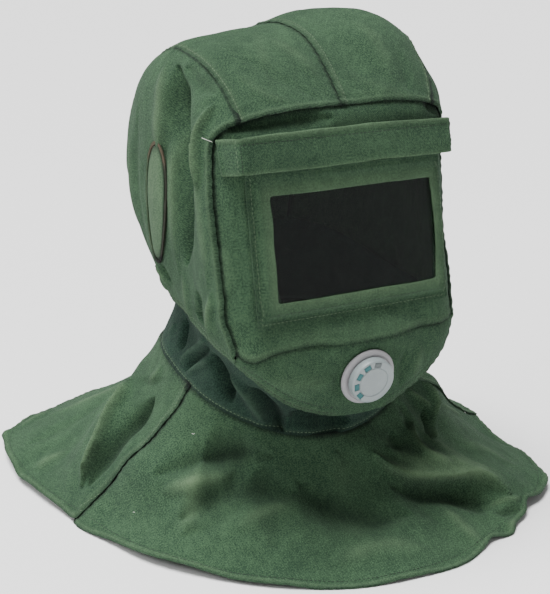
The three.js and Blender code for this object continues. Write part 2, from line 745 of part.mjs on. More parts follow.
function earBinding(side) {
  const layer = (lift) =>
    [0, 1].map((share) =>
      range(ROUND_STEPS).map((i) => {
        const turn = degToRad((i * 360) / ROUND_STEPS);
        const across = Math.cos(turn) * (EAR_HALF_WIDTH + share * EAR_BINDING);
        const up = Math.sin(turn) * (EAR_HALF_HEIGHT + share * EAR_BINDING);
        return onEar(side, across, up, lift);
      }),
    );
  return gridSolid(layer(LAY_GAP + BINDING_CLOTH), layer(LAY_GAP), true);
}

const turned = (profile) =>
  new THREE.LatheGeometry(
    profile.map(([r, y]) => new THREE.Vector2(r, y)),
    ROUND_STEPS,
  ).applyMatrix4(valveSeat);

// The valve: a flanged body clamped through the chin panel, its cap and the cap's marks
const capBase = LAY_GAP + VALVE_RIM + LAY_GAP;
const capTop = capBase + CAP_STAND;

function valveBody() {
  const inside = -CLOTH - LAY_GAP;
  const flange = VALVE_RADIUS - VALVE_RIM / 2;
  return turned([
    [0, inside - VALVE_RIM],
    [flange, inside - VALVE_RIM],
    [flange, inside],
    [VALVE_NECK_RADIUS, inside],
    [VALVE_NECK_RADIUS, LAY_GAP],
    [VALVE_RADIUS, LAY_GAP],
    [VALVE_RADIUS, LAY_GAP + VALVE_RIM / 2],
    [CAP_RADIUS + LAY_GAP, LAY_GAP + VALVE_RIM],
    [0, LAY_GAP + VALVE_RIM],
  ]);
}

function markBlock(index, grow, bottom, top) {
  return new THREE.BoxGeometry(MARK_LENGTH + 2 * grow, top - bottom, MARK_WIDTH + 2 * grow)
    .translate(0, (top + bottom) / 2, MARK_RADIUS)
    .rotateY(degToRad(MARK_FIRST + index * MARK_STEP))
    .applyMatrix4(valveSeat);
}

function valveCap() {
  const cap = turned([
    [0, capBase],
    [CAP_RADIUS, capBase],
    [CAP_RADIUS, capTop - CAP_EDGE],
    [CAP_RADIUS - CAP_EDGE, capTop],
    [0, capTop],
  ]);
  const [floor, roof] = [capTop - MARK_DEPTH, capTop + MARK_DEPTH];
  return cut(cap, ...range(MARK_COUNT).map((i) => markBlock(i, MARK_GAP, floor, roof)));
}

const valveMark = (index) => markBlock(index, 0, capTop - MARK_DEPTH + MARK_GAP, capTop);

// The neck seam: an oval that dips to the front
function neckSeam(turn) {
  const [s, c] = [Math.sin(turn), -Math.cos(turn)];
  const reach = c < 0 ? NECK_FRONT : NECK_BACK;
  const power = NECK_ROUNDNESS;
  const radius = (Math.abs(s / NECK_HALF_WIDTH) ** power + Math.abs(c / reach) ** power) ** (-1 / power);
  const drop = mix(NECK_BACK_DROP, NECK_FRONT_DROP, ((1 - c) / 2) ** NECK_DIP);
  return vec(s * radius, c * radius, -drop);
}

// The cape's skin without folds, by its turn in degrees and its share of the way down
function capeSkin(turn, along) {
  const radians = degToRad(turn);
  const top = neckSeam(radians);
  const reach = HEM_REACH * readRound(HEM_LINE, "reach", turn);
  const hem = HEM_DROP * (readRound(HEM_LINE, "lift", turn) - 1);
  const radius = mix(Math.hypot(top.x, top.y), reach, readAlong(CAPE_SLOPE, "out", along));
  const z = mix(top.z, hem, readAlong(CAPE_SLOPE, "down", along));
  return vec(Math.sin(radians) * radius, -Math.cos(radians) * radius, z);
}

const capeFolds = CAPE_FOLDS.map(({ turn, along, width, height }) => ({
  line: new THREE.Line3(capeSkin(turn[0], along[0]), capeSkin(turn[1], along[1])),
  width: width * HEM_REACH,
  height: height * HEM_REACH,
}));

// The cape's outer face. Folds lift it out and up, and fade at the seam and towards the hem.
function capeFace(turn, along) {
  const skin = capeSkin(turn, along);
  const outward = vec(skin.x, skin.y, 0).normalize().multiplyScalar(0.5);
  const lift = outward.add(vec(0, 0, 1)).normalize();
  const calm = Math.min(1, along / 0.12) * (1 - 0.75 * smoothstep(along, 0.75, 1));
  return skin.addScaledVector(lift, foldLift(skin, capeFolds) * calm);
}

function capeAt(turn, along) {
  const [above, below] = [Math.max(along - NORMAL_STEP, 0), Math.min(along + NORMAL_STEP, 1)];
  const [right, left] = [capeFace(turn - 1, along), capeFace(turn + 1, along)];
  return {
    point: capeFace(turn, along),
    normal: facing(capeFace(turn, above), capeFace(turn, below), right, left),
  };
}

// One half of the cape, its hem turned over to the inside
function capePanel(from, to, lap = 0) {
  const { across, down } = CAPE_STEPS;
  const slope = Math.hypot(HEM_REACH - NECK_HALF_WIDTH, HEM_DROP - NECK_BACK_DROP);
  const turnLine = 1 - HEM_TURN / slope;
  const rows = [...range(down + 1).map((i) => (turnLine * i) / down), turnLine + 0.01, 1];
  const grid = rows.map((along) => {
    const first = mix(from.neck, from.hem, along);
    const last = mix(to.neck, to.hem, along) + lap;
    return range(across + 1).map((j) => capeAt(mix(first, last, j / across), along));
  });
  drawIn(grid, SEAM_GAP / 2);
  return clothSolid(grid, (i) => (i > down ? HEM_CLOTH : CLOTH));
}

// How far the neck stands out half-way down, drawn in all round and gathered in folds
function neckDraw(turn) {
  return NECK_FOLDS.reduce((sum, { at, spread, height }) => {
    const away = (((turn - at + 540) % 360) - 180) / spread;
    return sum + height * Math.exp(-away * away);
  }, -NECK_WAIST);
}

// Round the bag's lower edge, each place with the one above it in its panel
function lowerRim() {
  const rim = (name) => {
    const [above, edge] = panelGrid(panelEdges[name]).slice(-2);
    return edge.map((at, j) => ({ at, above: above[j] }));
  };
  const runs = [
    rim("chin"),
    rim("side_left"),
    backwards(rim("crown_left")),
    rim("crown_right"),
    backwards(rim("side_right")),
  ];
  return runs.flatMap((run) => run.slice(0, -1));
}

// The neck hangs from just inside the bag's lower edge and ends at the neck seam
function neckPanel() {
  const inside = CLOTH + 2.6 * LAY_GAP;
  const columns = lowerRim().map(({ at, above }) => {
    const tuck = NECK_TUCK / at.point.distanceTo(above.point);
    const top = at.point.clone().lerp(above.point, tuck);
    top.addScaledVector(at.normal.clone().lerp(above.normal, tuck), -inside);
    const edge = at.point.clone().addScaledVector(at.normal, -inside);
    const turn = Math.atan2(edge.x, -edge.y);
    const outward = vec(Math.sin(turn), -Math.cos(turn), 0);
    const low = neckSeam(turn).add(vec(0, 0, SEAM_GAP));
    const draw = NECK_HALF_WIDTH * neckDraw(radToDeg(turn));
    const hang = NECK_ROWS.map((share) =>
      edge.clone().lerp(low, share).addScaledVector(outward, draw * Math.sin(Math.PI * share ** 0.8)),
    );
    return { points: [top, edge, ...hang], outward };
  });
  const rows = (thick) =>
    range(columns[0].points.length).map((i) =>
      columns.map(({ points, outward }) => points[i].clone().addScaledVector(outward, -thick)),
    );
  return gridSolid(rows(0), rows(CLOTH), true);
}

function piece(name, geometry, finish) {
  const mesh = new THREE.Mesh(geometry, new THREE.MeshStandardMaterial({ metalness: 0, ...finish }));
  mesh.name = name;
  return mesh;
}

// The bag is worked out from the middle of the window and hangs from the inside of its crown
const bag = new THREE.Group();
bag.position.z = CLOTH - CROWN_RISE;
for (const side of ["right", "left"]) {
  bag.add(piece("crown_" + side, bagPanel("crown_" + side), CANVAS));
  bag.add(piece("side_panel_" + side, bagPanel("side_" + side), CANVAS));
  bag.add(piece("ear_patch_" + side, earPatch(side), PATCH_CLOTH));
  bag.add(piece("ear_binding_" + side, earBinding(side), BINDING));
}
bag.add(piece("front_panel", frontPanel(), CANVAS));
bag.add(piece("chin_panel", chinPanel(), CANVAS));
bag.add(piece("window_glass", windowGlass(), GLASS));
bag.add(piece("window_pocket", windowPocket(), CANVAS));
bag.add(piece("brow_flap", browFlap(), CANVAS));
bag.add(piece("valve_body", valveBody(), RIM_PLASTIC));
bag.add(piece("valve_cap", valveCap(), CAP_PLASTIC));
for (const i of range(MARK_COUNT)) {
  bag.add(piece("valve_mark_" + (i + 1), valveMark(i), i ? TEAL_MARK : GREY_MARK));
}
bag.add(piece("neck", neckPanel(), NECK_CANVAS));
bag.add(piece("cape_front", capePanel(CAPE_SEAM_RIGHT, CAPE_SEAM_LEFT), CANVAS));
bag.add(piece("cape_back", capePanel(CAPE_SEAM_LEFT, CAPE_SEAM_RIGHT, 360), CANVAS));

const hood = new THREE.Group();
hood.add(bag);

export default hood;
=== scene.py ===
"""Dresses a packed sandblasting hood: sewn canvas, its seams and stitches, the window and the valve.

Lengths are in metres, or in millimetres where a class says so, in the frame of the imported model: +Z
is up, the window faces -Y and the wearer's right hand is at -X. Folds and pulls are placed by pixels
of the photograph's frame, as its camera sees them.
"""

import json
import logging
import math
from contextlib import contextmanager
from dataclasses import dataclass, field
from enum import Enum
from typing import Any, Iterator, Sequence

import bmesh
import bpy
import numpy as np
from mathutils import Matrix, Vector, noise
from mathutils.bvhtree import BVHTree

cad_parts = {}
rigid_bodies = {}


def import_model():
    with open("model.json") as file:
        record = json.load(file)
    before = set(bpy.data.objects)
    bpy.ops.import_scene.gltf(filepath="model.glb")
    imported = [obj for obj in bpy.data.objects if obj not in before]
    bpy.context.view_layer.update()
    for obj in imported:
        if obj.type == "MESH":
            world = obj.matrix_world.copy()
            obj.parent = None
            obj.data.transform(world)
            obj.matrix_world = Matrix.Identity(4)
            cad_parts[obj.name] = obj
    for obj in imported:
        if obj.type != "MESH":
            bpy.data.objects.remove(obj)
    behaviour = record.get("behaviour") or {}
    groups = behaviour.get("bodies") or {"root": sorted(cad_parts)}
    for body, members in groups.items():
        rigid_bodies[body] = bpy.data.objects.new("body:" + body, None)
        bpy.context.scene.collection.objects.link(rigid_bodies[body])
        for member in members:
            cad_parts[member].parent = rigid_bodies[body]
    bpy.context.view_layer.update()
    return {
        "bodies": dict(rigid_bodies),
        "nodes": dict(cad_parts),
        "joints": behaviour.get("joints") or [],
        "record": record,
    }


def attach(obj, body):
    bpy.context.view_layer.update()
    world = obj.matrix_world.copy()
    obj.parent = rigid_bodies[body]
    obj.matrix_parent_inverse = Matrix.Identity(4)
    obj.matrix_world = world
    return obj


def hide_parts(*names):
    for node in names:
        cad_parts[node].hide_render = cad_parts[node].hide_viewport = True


log = logging.getLogger("hood")

MM = 0.001
Pixel = tuple[float, float]
Place = tuple[float, float, float]
Colour = tuple[float, float, float, float]

WINDOW_MIDDLE = Vector((0.0, -0.125, -0.1528))
WINDOW_LEAN = math.radians(10.9)
WINDOW_WIDE = 0.140
WINDOW_HIGH = 0.081
BAG_MIDDLE = Vector((0.0, 0.0, -0.15))
VALVE_FACE = Vector((0.002429, -0.153354, -0.262885))
VALVE_AXIS = Vector((0.0, -0.987496, -0.157646))
VALVE_REACH = 0.0112
FLOOR_HEIGHT = -0.4085
LOWEST_CLOTH = -0.4062


# Small tools


def alone(piece: bpy.types.Object) -> None:
    """Makes one piece the only one that operators act on.

    Args:
        piece: The piece.
    """
    bpy.ops.object.select_all(action="DESELECT")
    piece.select_set(True)
    bpy.context.view_layer.objects.active = piece


@contextmanager
def editing(piece: bpy.types.Object) -> Iterator[None]:
    """Opens a piece for edit-mode operators, with all of it selected.

    Args:
        piece: The piece to open.

    Yields:
        Nothing. The piece closes afterwards.
    """
    alone(piece)
    bpy.ops.object.mode_set(mode="EDIT")
    bpy.ops.mesh.select_all(action="SELECT")
    yield
    bpy.ops.object.mode_set(mode="OBJECT")


def modify(piece: bpy.types.Object, kind: str, **settings: Any) -> None:
    """Adds a modifier with its settings and applies it.

    Args:
        piece: The piece to change.
        kind: The modifier's type.
        **settings: The modifier's properties.
    """
    alone(piece)
    modifier = piece.modifiers.new(kind.lower(), kind)
    for name, value in settings.items():
        setattr(modifier, name, value)
    bpy.ops.object.modifier_apply(modifier=modifier.name)


def new_piece(name: str) -> bpy.types.Object:
    """Names the primitive that was just added.

    Args:
        name: Its name.

    Returns:
        The piece.
    """
    piece = bpy.context.object
    piece.name = name
    piece.data.name = name
    return piece


def enter(piece: bpy.types.Object, node: str | None = None) -> None:
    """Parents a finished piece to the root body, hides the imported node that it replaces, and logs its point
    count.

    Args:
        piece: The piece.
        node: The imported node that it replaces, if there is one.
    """
    if node:
        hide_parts(node)
    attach(piece, "root")
    log.info("%s: %d points", piece.name, len(piece.data.vertices))


def settle(piece: bpy.types.Object, place: Matrix) -> None:
    """Puts a piece's place into its mesh, so that its object stays at the origin.

    Args:
        piece: A piece made about its own origin.
        place: Where that origin goes, and how it is turned.
    """
    piece.data.transform(place @ piece.matrix_basis)
    piece.matrix_basis = Matrix.Identity(4)


def ease(value: np.ndarray) -> np.ndarray:
    """A smooth step from 0 to 1 as the value goes from 0 to 1."""
    held = np.clip(value, 0, 1)
    return held * held * (3 - 2 * held)


def smooth_path(points: Sequence[Sequence[float]], steps: int = 6) -> np.ndarray:
    """A curved path through a few points.

    Args:
        points: The points to pass through.
        steps: How many chords lie between two points.

    Returns:
        The points of the curve, as rows.
    """
    rows = np.array([tuple(p) for p in points], float)
    if len(rows) < 3:
        return np.array([rows[0] + (rows[-1] - rows[0]) * t for t in np.linspace(0, 1, steps + 1)])
    ends = np.vstack([2 * rows[0] - rows[1], rows, 2 * rows[-1] - rows[-2]])
    curve = [rows[0]]
    for a, b, c, d in zip(ends, ends[1:], ends[2:], ends[3:]):
        for t in np.linspace(0, 1, steps + 1)[1:]:
            line = 2 * b + (c - a) * t
            square = (2 * a - 5 * b + 4 * c - d) * t**2
            cube = (3 * b - a - 3 * c + d) * t**3
            curve.append(0.5 * (line + square + cube))
    return np.array(curve)


def along_path(points: np.ndarray, path: np.ndarray) -> tuple[np.ndarray, np.ndarray]:
    """How far points lie from a path, and where along it.

    Args:
        points: The points to measure, as rows.
        path: The path's own points, as rows.

    Returns:
        Each point's distance from the path, and its nearest place's length along it.
    """
    away = np.full(len(points), 1e9)
    place = np.zeros(len(points))
    walked = 0.0
    for start, end in zip(path[:-1], path[1:]):
        step = end - start
        length = float(np.linalg.norm(step))
        if length < 1e-9:
            continue
        share = np.clip(((points - start) @ step) / length**2, 0, 1)
        distance = np.linalg.norm(points - start - share[:, None] * step, axis=1)
        closer = distance < away
        away[closer] = distance[closer]
        place[closer] = walked + share[closer] * length
        walked += length
    return away, place


def even_path(path: np.ndarray, pitch: float) -> np.ndarray:
    """A path's points at an even pitch along it.

    Args:
        path: The path's own points, as rows.
        pitch: The distance from one to the next.

    Returns:
        The new points, as rows.
    """
    lengths = np.r_[0, np.cumsum(np.linalg.norm(np.diff(path, axis=0), axis=1))]
    stops = np.arange(pitch / 2, lengths[-1], pitch)
    return np.stack([np.interp(stops, lengths, path[:, axis]) for axis in range(3)], axis=1)


# Camera, lights and floor


@dataclass(frozen=True)
class StudioCamera:
    """The camera, fitted to the photograph's frame. Angles are in degrees, lens and sensor in millimetres."""

    place: Place = (-0.47822, -0.92284, 0.11669)
    azimuth: float = -27.1
    elevation: float = 18.87
    lens: float = 75.76
    sensor: float = 36.0
    near: float = 0.05
    wide: int = 550
    high: int = 594

    def turn(self) -> Matrix:
        """The camera's rotation.

        Returns:
            The rotation as a 3 by 3 matrix.
        """
        a, e = math.radians(self.azimuth), math.radians(self.elevation)
        back = Vector((math.sin(a) * math.cos(e), -math.cos(a) * math.cos(e), math.sin(e)))
        return (-back).to_track_quat("-Z", "Y").to_matrix()

    def make(self) -> None:
        """Adds the camera and makes it the scene's."""
        data = bpy.data.cameras.new("camera")
        data.lens = self.lens
        data.sensor_width = self.sensor
        data.clip_start = self.near
        camera = bpy.data.objects.new("camera", data)
        camera.matrix_world = Matrix.Translation(self.place) @ self.turn().to_4x4()
        bpy.context.scene.collection.objects.link(camera)
        bpy.context.scene.camera = camera

    def focal(self) -> float:
        """The lens's length in pixels of the frame."""
        return self.lens / self.sensor * max(self.wide, self.high)

    def ray(self, pixel: Pixel) -> Vector:
        """The direction in which a pixel of the frame looks.

        Args:
            pixel: The pixel, from the frame's upper left.

        Returns:
            The direction, one metre long.
        """
        focal = self.focal()
        x, y = pixel
        local = Vector(((x - self.wide / 2) / focal, -(y - self.high / 2) / focal, -1))
        return (self.turn() @ local).normalized()


def add_lamp(name: str, kind: str, way: Vector, place: Place = (0.0, 0.0, 0.0)) -> bpy.types.Light:
    """Adds a lamp.

    Args:
        name: Its name.
        kind: Its type.
        way: The way that it shines.
        place: Where it is.

    Returns:
        Its light, for the settings of its own type.
    """
    light = bpy.data.lights.new(name, kind)
    lamp = bpy.data.objects.new(name, light)
    lamp.location = place
    lamp.rotation_mode = "QUATERNION"
    lamp.rotation_quaternion = way.to_track_quat("-Z", "Y")
    bpy.context.scene.collection.objects.link(lamp)
    return light


@dataclass(frozen=True)
class SoftLight:
    """One soft area light that looks at the hood. Its size is in metres and its power in watts."""

    name: str
    place: Place
    size: float
    power: float
    aim: Place = (0.0, 0.0, -0.2)

    def make(self) -> None:
        """Adds the light."""
        light = add_lamp(self.name, "AREA", Vector(self.aim) - Vector(self.place), self.place)
        light.shape = "DISK"
        light.size = self.size
        light.energy = self.power


@dataclass(frozen=True)
class SoftSun:
    """One wide soft light from far away, which lights the hood and all the floor alike."""

    name: str
    towards: Place
    strength: float
    spread: float

    def make(self) -> None:
        """Adds the light."""
        light = add_lamp(self.name, "SUN", -Vector(self.towards))
        light.energy = self.strength
        light.angle = math.radians(self.spread)


@dataclass
class Studio:
    """The pale floor, the soft lights and the camera."""

    floor_size: float = 30.0
    sky_strength: float = 0.26
    lights: tuple[SoftLight | SoftSun, ...] = (
        SoftSun("overhead_light", (-0.2, 0.10, 1.0), 7.0, 34.0),
        SoftLight("left_light", (-1.6, 0.1, 0.75), 0.8, 11.0),
        SoftLight("front_light", (-0.7, -1.9, 0.7), 1.0, 3.4),
    )
    camera: StudioCamera = field(default_factory=StudioCamera)

    def build(self) -> None:
        """Adds the floor, the world, the lights and the camera."""
        self.camera.make()
        for light in self.lights:
            light.make()
        bpy.ops.mesh.primitive_plane_add(size=self.floor_size, location=(0, 0, FLOOR_HEIGHT))
        floor = new_piece("floor")
        floor.data.materials.append(FloorFinish("floor_paint").make())
        world = bpy.data.worlds.new("studio")
        world.use_nodes = True
        backdrop = world.node_tree.nodes["Background"]
        backdrop.inputs["Color"].default_value = (1, 1, 1, 1)
        backdrop.inputs["Strength"].default_value = self.sky_strength
        bpy.context.scene.world = world


# Finishes


@dataclass(frozen=True)
class Number:
    """A number of a material, for writing its maths as Python."""

    paint: "Paint"
    socket: bpy.types.NodeSocket

    def _with(self, operation: str, first: Any, second: Any) -> "Number":
        """Adds a Math node for two numbers or sockets."""
        values = [v.socket if isinstance(v, Number) else v for v in (first, second)]
        return self.paint.number("ShaderNodeMath", {"operation": operation}, {0: values[0], 1: values[1]})

    def __add__(self, other: Any) -> "Number":
        """The sum."""
        return self._with("ADD", self, other)

    def __mul__(self, other: Any) -> "Number":
        """The product."""
        return self._with("MULTIPLY", self, other)

    def __sub__(self, other: Any) -> "Number":
        """The difference."""
        return self._with("SUBTRACT", self, other)

    def __rsub__(self, other: Any) -> "Number":
        """The difference from a plain number."""
        return self._with("SUBTRACT", other, self)

    def sine(self) -> "Number":
        """The sine."""
        return self._with("SINE", self, 0.0)

    def held(self) -> "Number":
        """The number held between 0 and 1."""
        return self.paint.number("ShaderNodeClamp", {}, {"Value": self.socket}, "Result")


class Paint:
    """A material under construction, round one main shader."""

    def __init__(self, name: str) -> None:
        """Starts a material with its main shader and output.

        Args:
            name: The material's name.
        """
        self.material = bpy.data.materials.new(name)
        self.material.use_nodes = True
        self.tree = self.material.node_tree
        self.tree.nodes.clear()
        self.shader = self.node("ShaderNodeBsdfPrincipled")
        output = self.node("ShaderNodeOutputMaterial")
        self.tree.links.new(self.shader.outputs["BSDF"], output.inputs["Surface"])

    def node(
        self, kind: str, settings: dict[str, Any] | None = None, inputs: dict[Any, Any] | None = None
    ) -> bpy.types.Node:
        """Adds any node.

        Args:
            kind: The node's type.
            settings: Its own properties, which are set first.
            inputs: Its sockets' values, Numbers or links, by name or index.

        Returns:
            The node.
        """
        made = self.tree.nodes.new(kind)
        for name, value in (settings or {}).items():
            setattr(made, name, value)
        for key, value in (inputs or {}).items():
            self.feed(made.inputs[key], value)
        return made

    def feed(self, socket: bpy.types.NodeSocket, value: Any) -> None:
        """Links a socket, or sets it to a plain value.

        Args:
            socket: The socket to feed.
            value: A Number, another node's socket or a plain value.
        """
        value = value.socket if isinstance(value, Number) else value
        if isinstance(value, bpy.types.NodeSocket):
            self.tree.links.new(value, socket)
        else:
            socket.default_value = value

    def number(
        self, kind: str, settings: dict[str, Any], inputs: dict[Any, Any], output: Any = 0
    ) -> Number:
        """Adds a node and returns one of its outputs as a Number."""
        return Number(self, self.node(kind, settings, inputs).outputs[output])

    def place(self) -> bpy.types.NodeSocket:
        """A point's own place in the frame."""
        return self.node("ShaderNodeTexCoord").outputs["Object"]

    def noise(
        self, place: bpy.types.NodeSocket, scale: float, detail: float = 2.0, rough: float = 0.5
    ) -> Number:
        """Soft noise from 0 to 1, with patches of about one over the scale in metres."""
        inputs = {"Vector": place, "Scale": scale, "Detail": detail, "Roughness": rough}
        return self.number("ShaderNodeTexNoise", {}, inputs, 0)

    def attribute(self, name: str) -> Number:
        """A number that the piece carries at its points."""
        return self.number("ShaderNodeAttribute", {"attribute_name": name}, {}, "Fac")

    def blend(self, share: Any, first: Any, second: Any) -> bpy.types.NodeSocket:
        """A colour between two.

        Args:
            share: How much of the second, from 0 to 1.
            first: The first colour.
            second: The second colour.

        Returns:
            The blended colour's socket.
        """
        settings = {"data_type": "RGBA", "clamp_factor": True}
        mixed = self.node("ShaderNodeMix", settings, {"Factor": share, 6: first, 7: second})
        return mixed.outputs[2]

    def finish(self, **sockets: Any) -> bpy.types.Material:
        """Feeds the main shader's sockets.

        Args:
            **sockets: Their values by name, with _ for a space.

        Returns:
            The material.
        """
        for name, value in sockets.items():
            self.feed(self.shader.inputs[name.replace("_", " ")], value)
        return self.material

    def bump(self, height: Number, depth: float, strength: float = 1.0) -> bpy.types.NodeSocket:
        """A normal from a height field that is this deep, in metres."""
        inputs = {"Height": height, "Distance": depth, "Strength": strength}
        return self.node("ShaderNodeBump", {}, inputs).outputs["Normal"]


@dataclass(frozen=True)
class FloorFinish:
    """Pale matt paint with the faintest mottling."""

    name: str

    def make(self) -> bpy.types.Material:
        """Makes the finish.

        Returns:
            Its material.
        """
        paint = Paint(self.name)
        cloud = paint.noise(paint.place(), 1.5)
        colour = paint.blend(cloud, (0.86, 0.86, 0.86, 1), (0.88, 0.88, 0.88, 1))
        return paint.finish(Base_Color=colour, Roughness=0.8)


@dataclass(frozen=True)
class CanvasFinish:
    """Woven cotton canvas, faded where it is worn, with painted shade where its dents, seams, creases and
    grooves are dark.
    """

    name: str
    deep: Colour
    faded: Colour
    worn: Colour
    # The colour of the painted shade in dents, creases and grooves.
    dark: Colour
    pitch: float = 1.7 * MM
    grain: float = 0.5

    def make(self) -> bpy.types.Material:
        """Makes the finish.

        Returns:
            Its material.
        """
        paint = Paint(self.name)
        place = paint.place()
        cloth = paint.node("ShaderNodeUVMap", {"uv_map": "UVMap"}).outputs["UV"]
        bend = paint.noise(cloth, 60, 2.0)
        brushing = {0: cloth, "Scale": (1.8, 0.6, 1.0)}
        brushed = paint.node("ShaderNodeMapping", {"vector_type": "POINT"}, brushing)
        streak = paint.noise(brushed.outputs[0], 160, 5.0, 0.75)
        axes = paint.node("ShaderNodeSeparateXYZ", {}, {0: cloth}).outputs
        turns = 2 * math.pi / self.pitch
        warp = (Number(paint, axes["X"]) * turns + bend * 5).sine()
        weft = (Number(paint, axes["Y"]) * turns + bend * 4).sine()
        weave = warp * weft * 0.5 + 0.5
        slub = paint.noise(cloth, 760, 3.0, 0.85)
        cloud = paint.noise(place, 13, 4.0, 0.6)
        blotch = paint.noise(place, 85, 5.0, 0.7)
        fade = (cloud * 1.1 + blotch * 1.2 + streak * 1.5 + slub * 4.6 + weave * 0.5 - 4.05).held()
        colour = paint.blend(fade, self.deep, self.faded)
        fleck = ((slub * 1.6 - 0.72).held() * (weave * 0.6 + 0.4) * self.grain).held()
        colour = paint.blend(fleck, colour, self.worn)
        rubbed = (paint.attribute("wear") * (blotch * 0.8 + slub * 0.9 - 0.05)).held()
        colour = paint.blend(rubbed, colour, self.worn)
        # Painted shade: the piece's dark attribute blends the colour towards the near-black dark colour.
        colour = paint.blend(paint.attribute("dark").held(), colour, self.dark)
        height = weave * 0.5 + slub * 1.2 + streak * 0.8 + blotch * 1.2
        return paint.finish(
            Base_Color=colour,
            Roughness=(0.98 - rubbed * 0.12).held(),
            Specular_IOR_Level=0.18,
            Sheen_Weight=0.03,
            Sheen_Roughness=0.6,
            Normal=paint.bump(height, 1.1 * MM, 0.7),
        )


@dataclass(frozen=True)
class ThreadFinish:
    """Twisted sewing thread."""

    name: str
    colour: Colour
    soiled: Colour

    def make(self) -> bpy.types.Material:
        """Makes the finish.

        Returns:
            Its material.
        """
        paint = Paint(self.name)
        place = paint.place()
        patch = (paint.noise(place, 45, 3.0) * 1.6 - 0.3).held()
        strand = paint.noise(place, 3000, 1.0)
        colour = paint.blend(patch, self.colour, self.soiled)
        return paint.finish(Base_Color=colour, Roughness=0.8, Normal=paint.bump(strand, 0.1 * MM, 0.6))


@dataclass(frozen=True)
class PlasticFinish:
    """Moulded plastic with fine flow marks and a little dust."""

    name: str
    colour: Colour
    dusty: Colour
    rough: float

    def make(self) -> bpy.types.Material:
        """Makes the finish.

        Returns:
            Its material.
        """
        paint = Paint(self.name)
        place = paint.place()
        cloud = paint.noise(place, 120, 4.0, 0.6)
        speck = paint.noise(place, 1400, 2.0)
        share = (cloud * 1.3 - 0.35 + speck * 0.25).held()
        colour = paint.blend(share, self.colour, self.dusty)
        rough = (cloud * 0.18 + (self.rough - 0.06)).held()
        return paint.finish(Base_Color=colour, Roughness=rough, Normal=paint.bump(speck, 0.05 * MM, 0.4))


@dataclass(frozen=True)
class GlassFinish:
    """Clear glass with faint smears."""

    name: str
    colour: Colour

    def make(self) -> bpy.types.Material:
        """Makes the finish.

        Returns:
            Its material.
        """
        paint = Paint(self.name)
        smear = paint.noise(paint.place(), 30, 3.0, 0.6)
        return paint.finish(
            Base_Color=self.colour,
            Roughness=(smear * 0.05).held(),
            IOR=1.46,
            Transmission_Weight=1.0,
        )


@dataclass(frozen=True)
class ClothColours:
    """The outer, inner and cut-edge materials of one cloth."""

    outer: bpy.types.Material
    inner: bpy.types.Material
    edge: bpy.types.Material


class Wardrobe:
    """All the finishes of the hood, each made once."""

    def __init__(self) -> None:
        """Makes the materials."""
        # The lining's own dark colour, made near black as painted shade for the inside of the hood.
        lining = CanvasFinish(
            "canvas_inside_with_painted_shade",
            deep=(0.008, 0.008, 0.006, 1),
            faded=(0.014, 0.012, 0.009, 1),
            worn=(0.02, 0.018, 0.014, 1),
            dark=(0.003, 0.003, 0.003, 1),
        ).make()
        edge = CanvasFinish(
            "canvas_edge",
            deep=(0.014, 0.022, 0.018, 1),
            faded=(0.03, 0.042, 0.034, 1),
            worn=(0.06, 0.07, 0.055, 1),
            dark=(0.006, 0.009, 0.007, 1),
        ).make()
        canvas = CanvasFinish(
            "canvas_green",
            deep=(0.015, 0.040, 0.021, 1),
            faded=(0.050, 0.105, 0.053, 1),
            worn=(0.105, 0.168, 0.090, 1),
            dark=(0.003, 0.007, 0.005, 1),
        ).make()
        # The neck's own teal green canvas, darkened further as painted shade for the shadow under the bag.
        neck = CanvasFinish(
            "neck_canvas_green_with_painted_shade",
            deep=(0.006, 0.020, 0.014, 1),
            faded=(0.020, 0.050, 0.032, 1),
            worn=(0.06, 0.11, 0.07, 1),
            dark=(0.002, 0.005, 0.004, 1),
        ).make()
        patch = CanvasFinish(
            "patch_green",
            deep=(0.040, 0.078, 0.042, 1),
            faded=(0.082, 0.140, 0.075, 1),
            worn=(0.14, 0.19, 0.11, 1),
            dark=(0.004, 0.009, 0.006, 1),
        ).make()
        binding = CanvasFinish(
            "binding_brown",
            deep=(0.024, 0.050, 0.024, 1),
            faded=(0.058, 0.095, 0.048, 1),
            worn=(0.080, 0.052, 0.034, 1),
            dark=(0.002, 0.003, 0.002, 1),
        ).make()
        self.canvas, self.neck, self.patch, self.binding = (
            ClothColours(outer, lining, edge) for outer in (canvas, neck, patch, binding)
        )
        self.pale_thread = ThreadFinish("pale_thread", (0.10, 0.16, 0.09, 1), (0.045, 0.07, 0.035, 1)).make()
        self.dark_thread = ThreadFinish(
            "dark_thread", colour=(0.005, 0.012, 0.008, 1), soiled=(0.014, 0.03, 0.015, 1)
        ).make()
        self.white_thread = ThreadFinish("white_thread", (0.75, 0.75, 0.7, 1), (0.5, 0.52, 0.46, 1)).make()
        self.rim = PlasticFinish(
            "valve_rim_grey", colour=(0.30, 0.295, 0.305, 1), dusty=(0.22, 0.215, 0.225, 1), rough=0.42
        ).make()
        self.cap = PlasticFinish(
            "valve_cap_grey", colour=(0.255, 0.295, 0.297, 1), dusty=(0.20, 0.235, 0.24, 1), rough=0.33
        ).make()
        self.teal = PlasticFinish("mark_teal", (0.0, 0.11, 0.115, 1), (0.0, 0.08, 0.085, 1), 0.45).make()
        self.grey = PlasticFinish("mark_grey", (0.10, 0.12, 0.12, 1), (0.06, 0.075, 0.075, 1), 0.45).make()
        self.glass = GlassFinish("window_glass_clear", (0.86, 0.93, 0.91, 1)).make()


# Cloth


# Each layer of fine wrinkles: how much finer it is than the first, and its share of the lift.
WRINKLE_WAVES = ((1.0, 0.6), (2.3, 0.28), (5.1, 0.12))
# How far off the flat cloth the search for the folded cloth starts, and how far it looks.
SEARCH_FROM = 12 * MM
SEARCH_DEPTH = 30 * MM
# How many metres of distance one radian off a pixel's line of sight counts for.
OFF_RAY_WEIGHT = 2000
# The cosine below which two faces count as back to back.
BACK_TO_BACK = -0.7


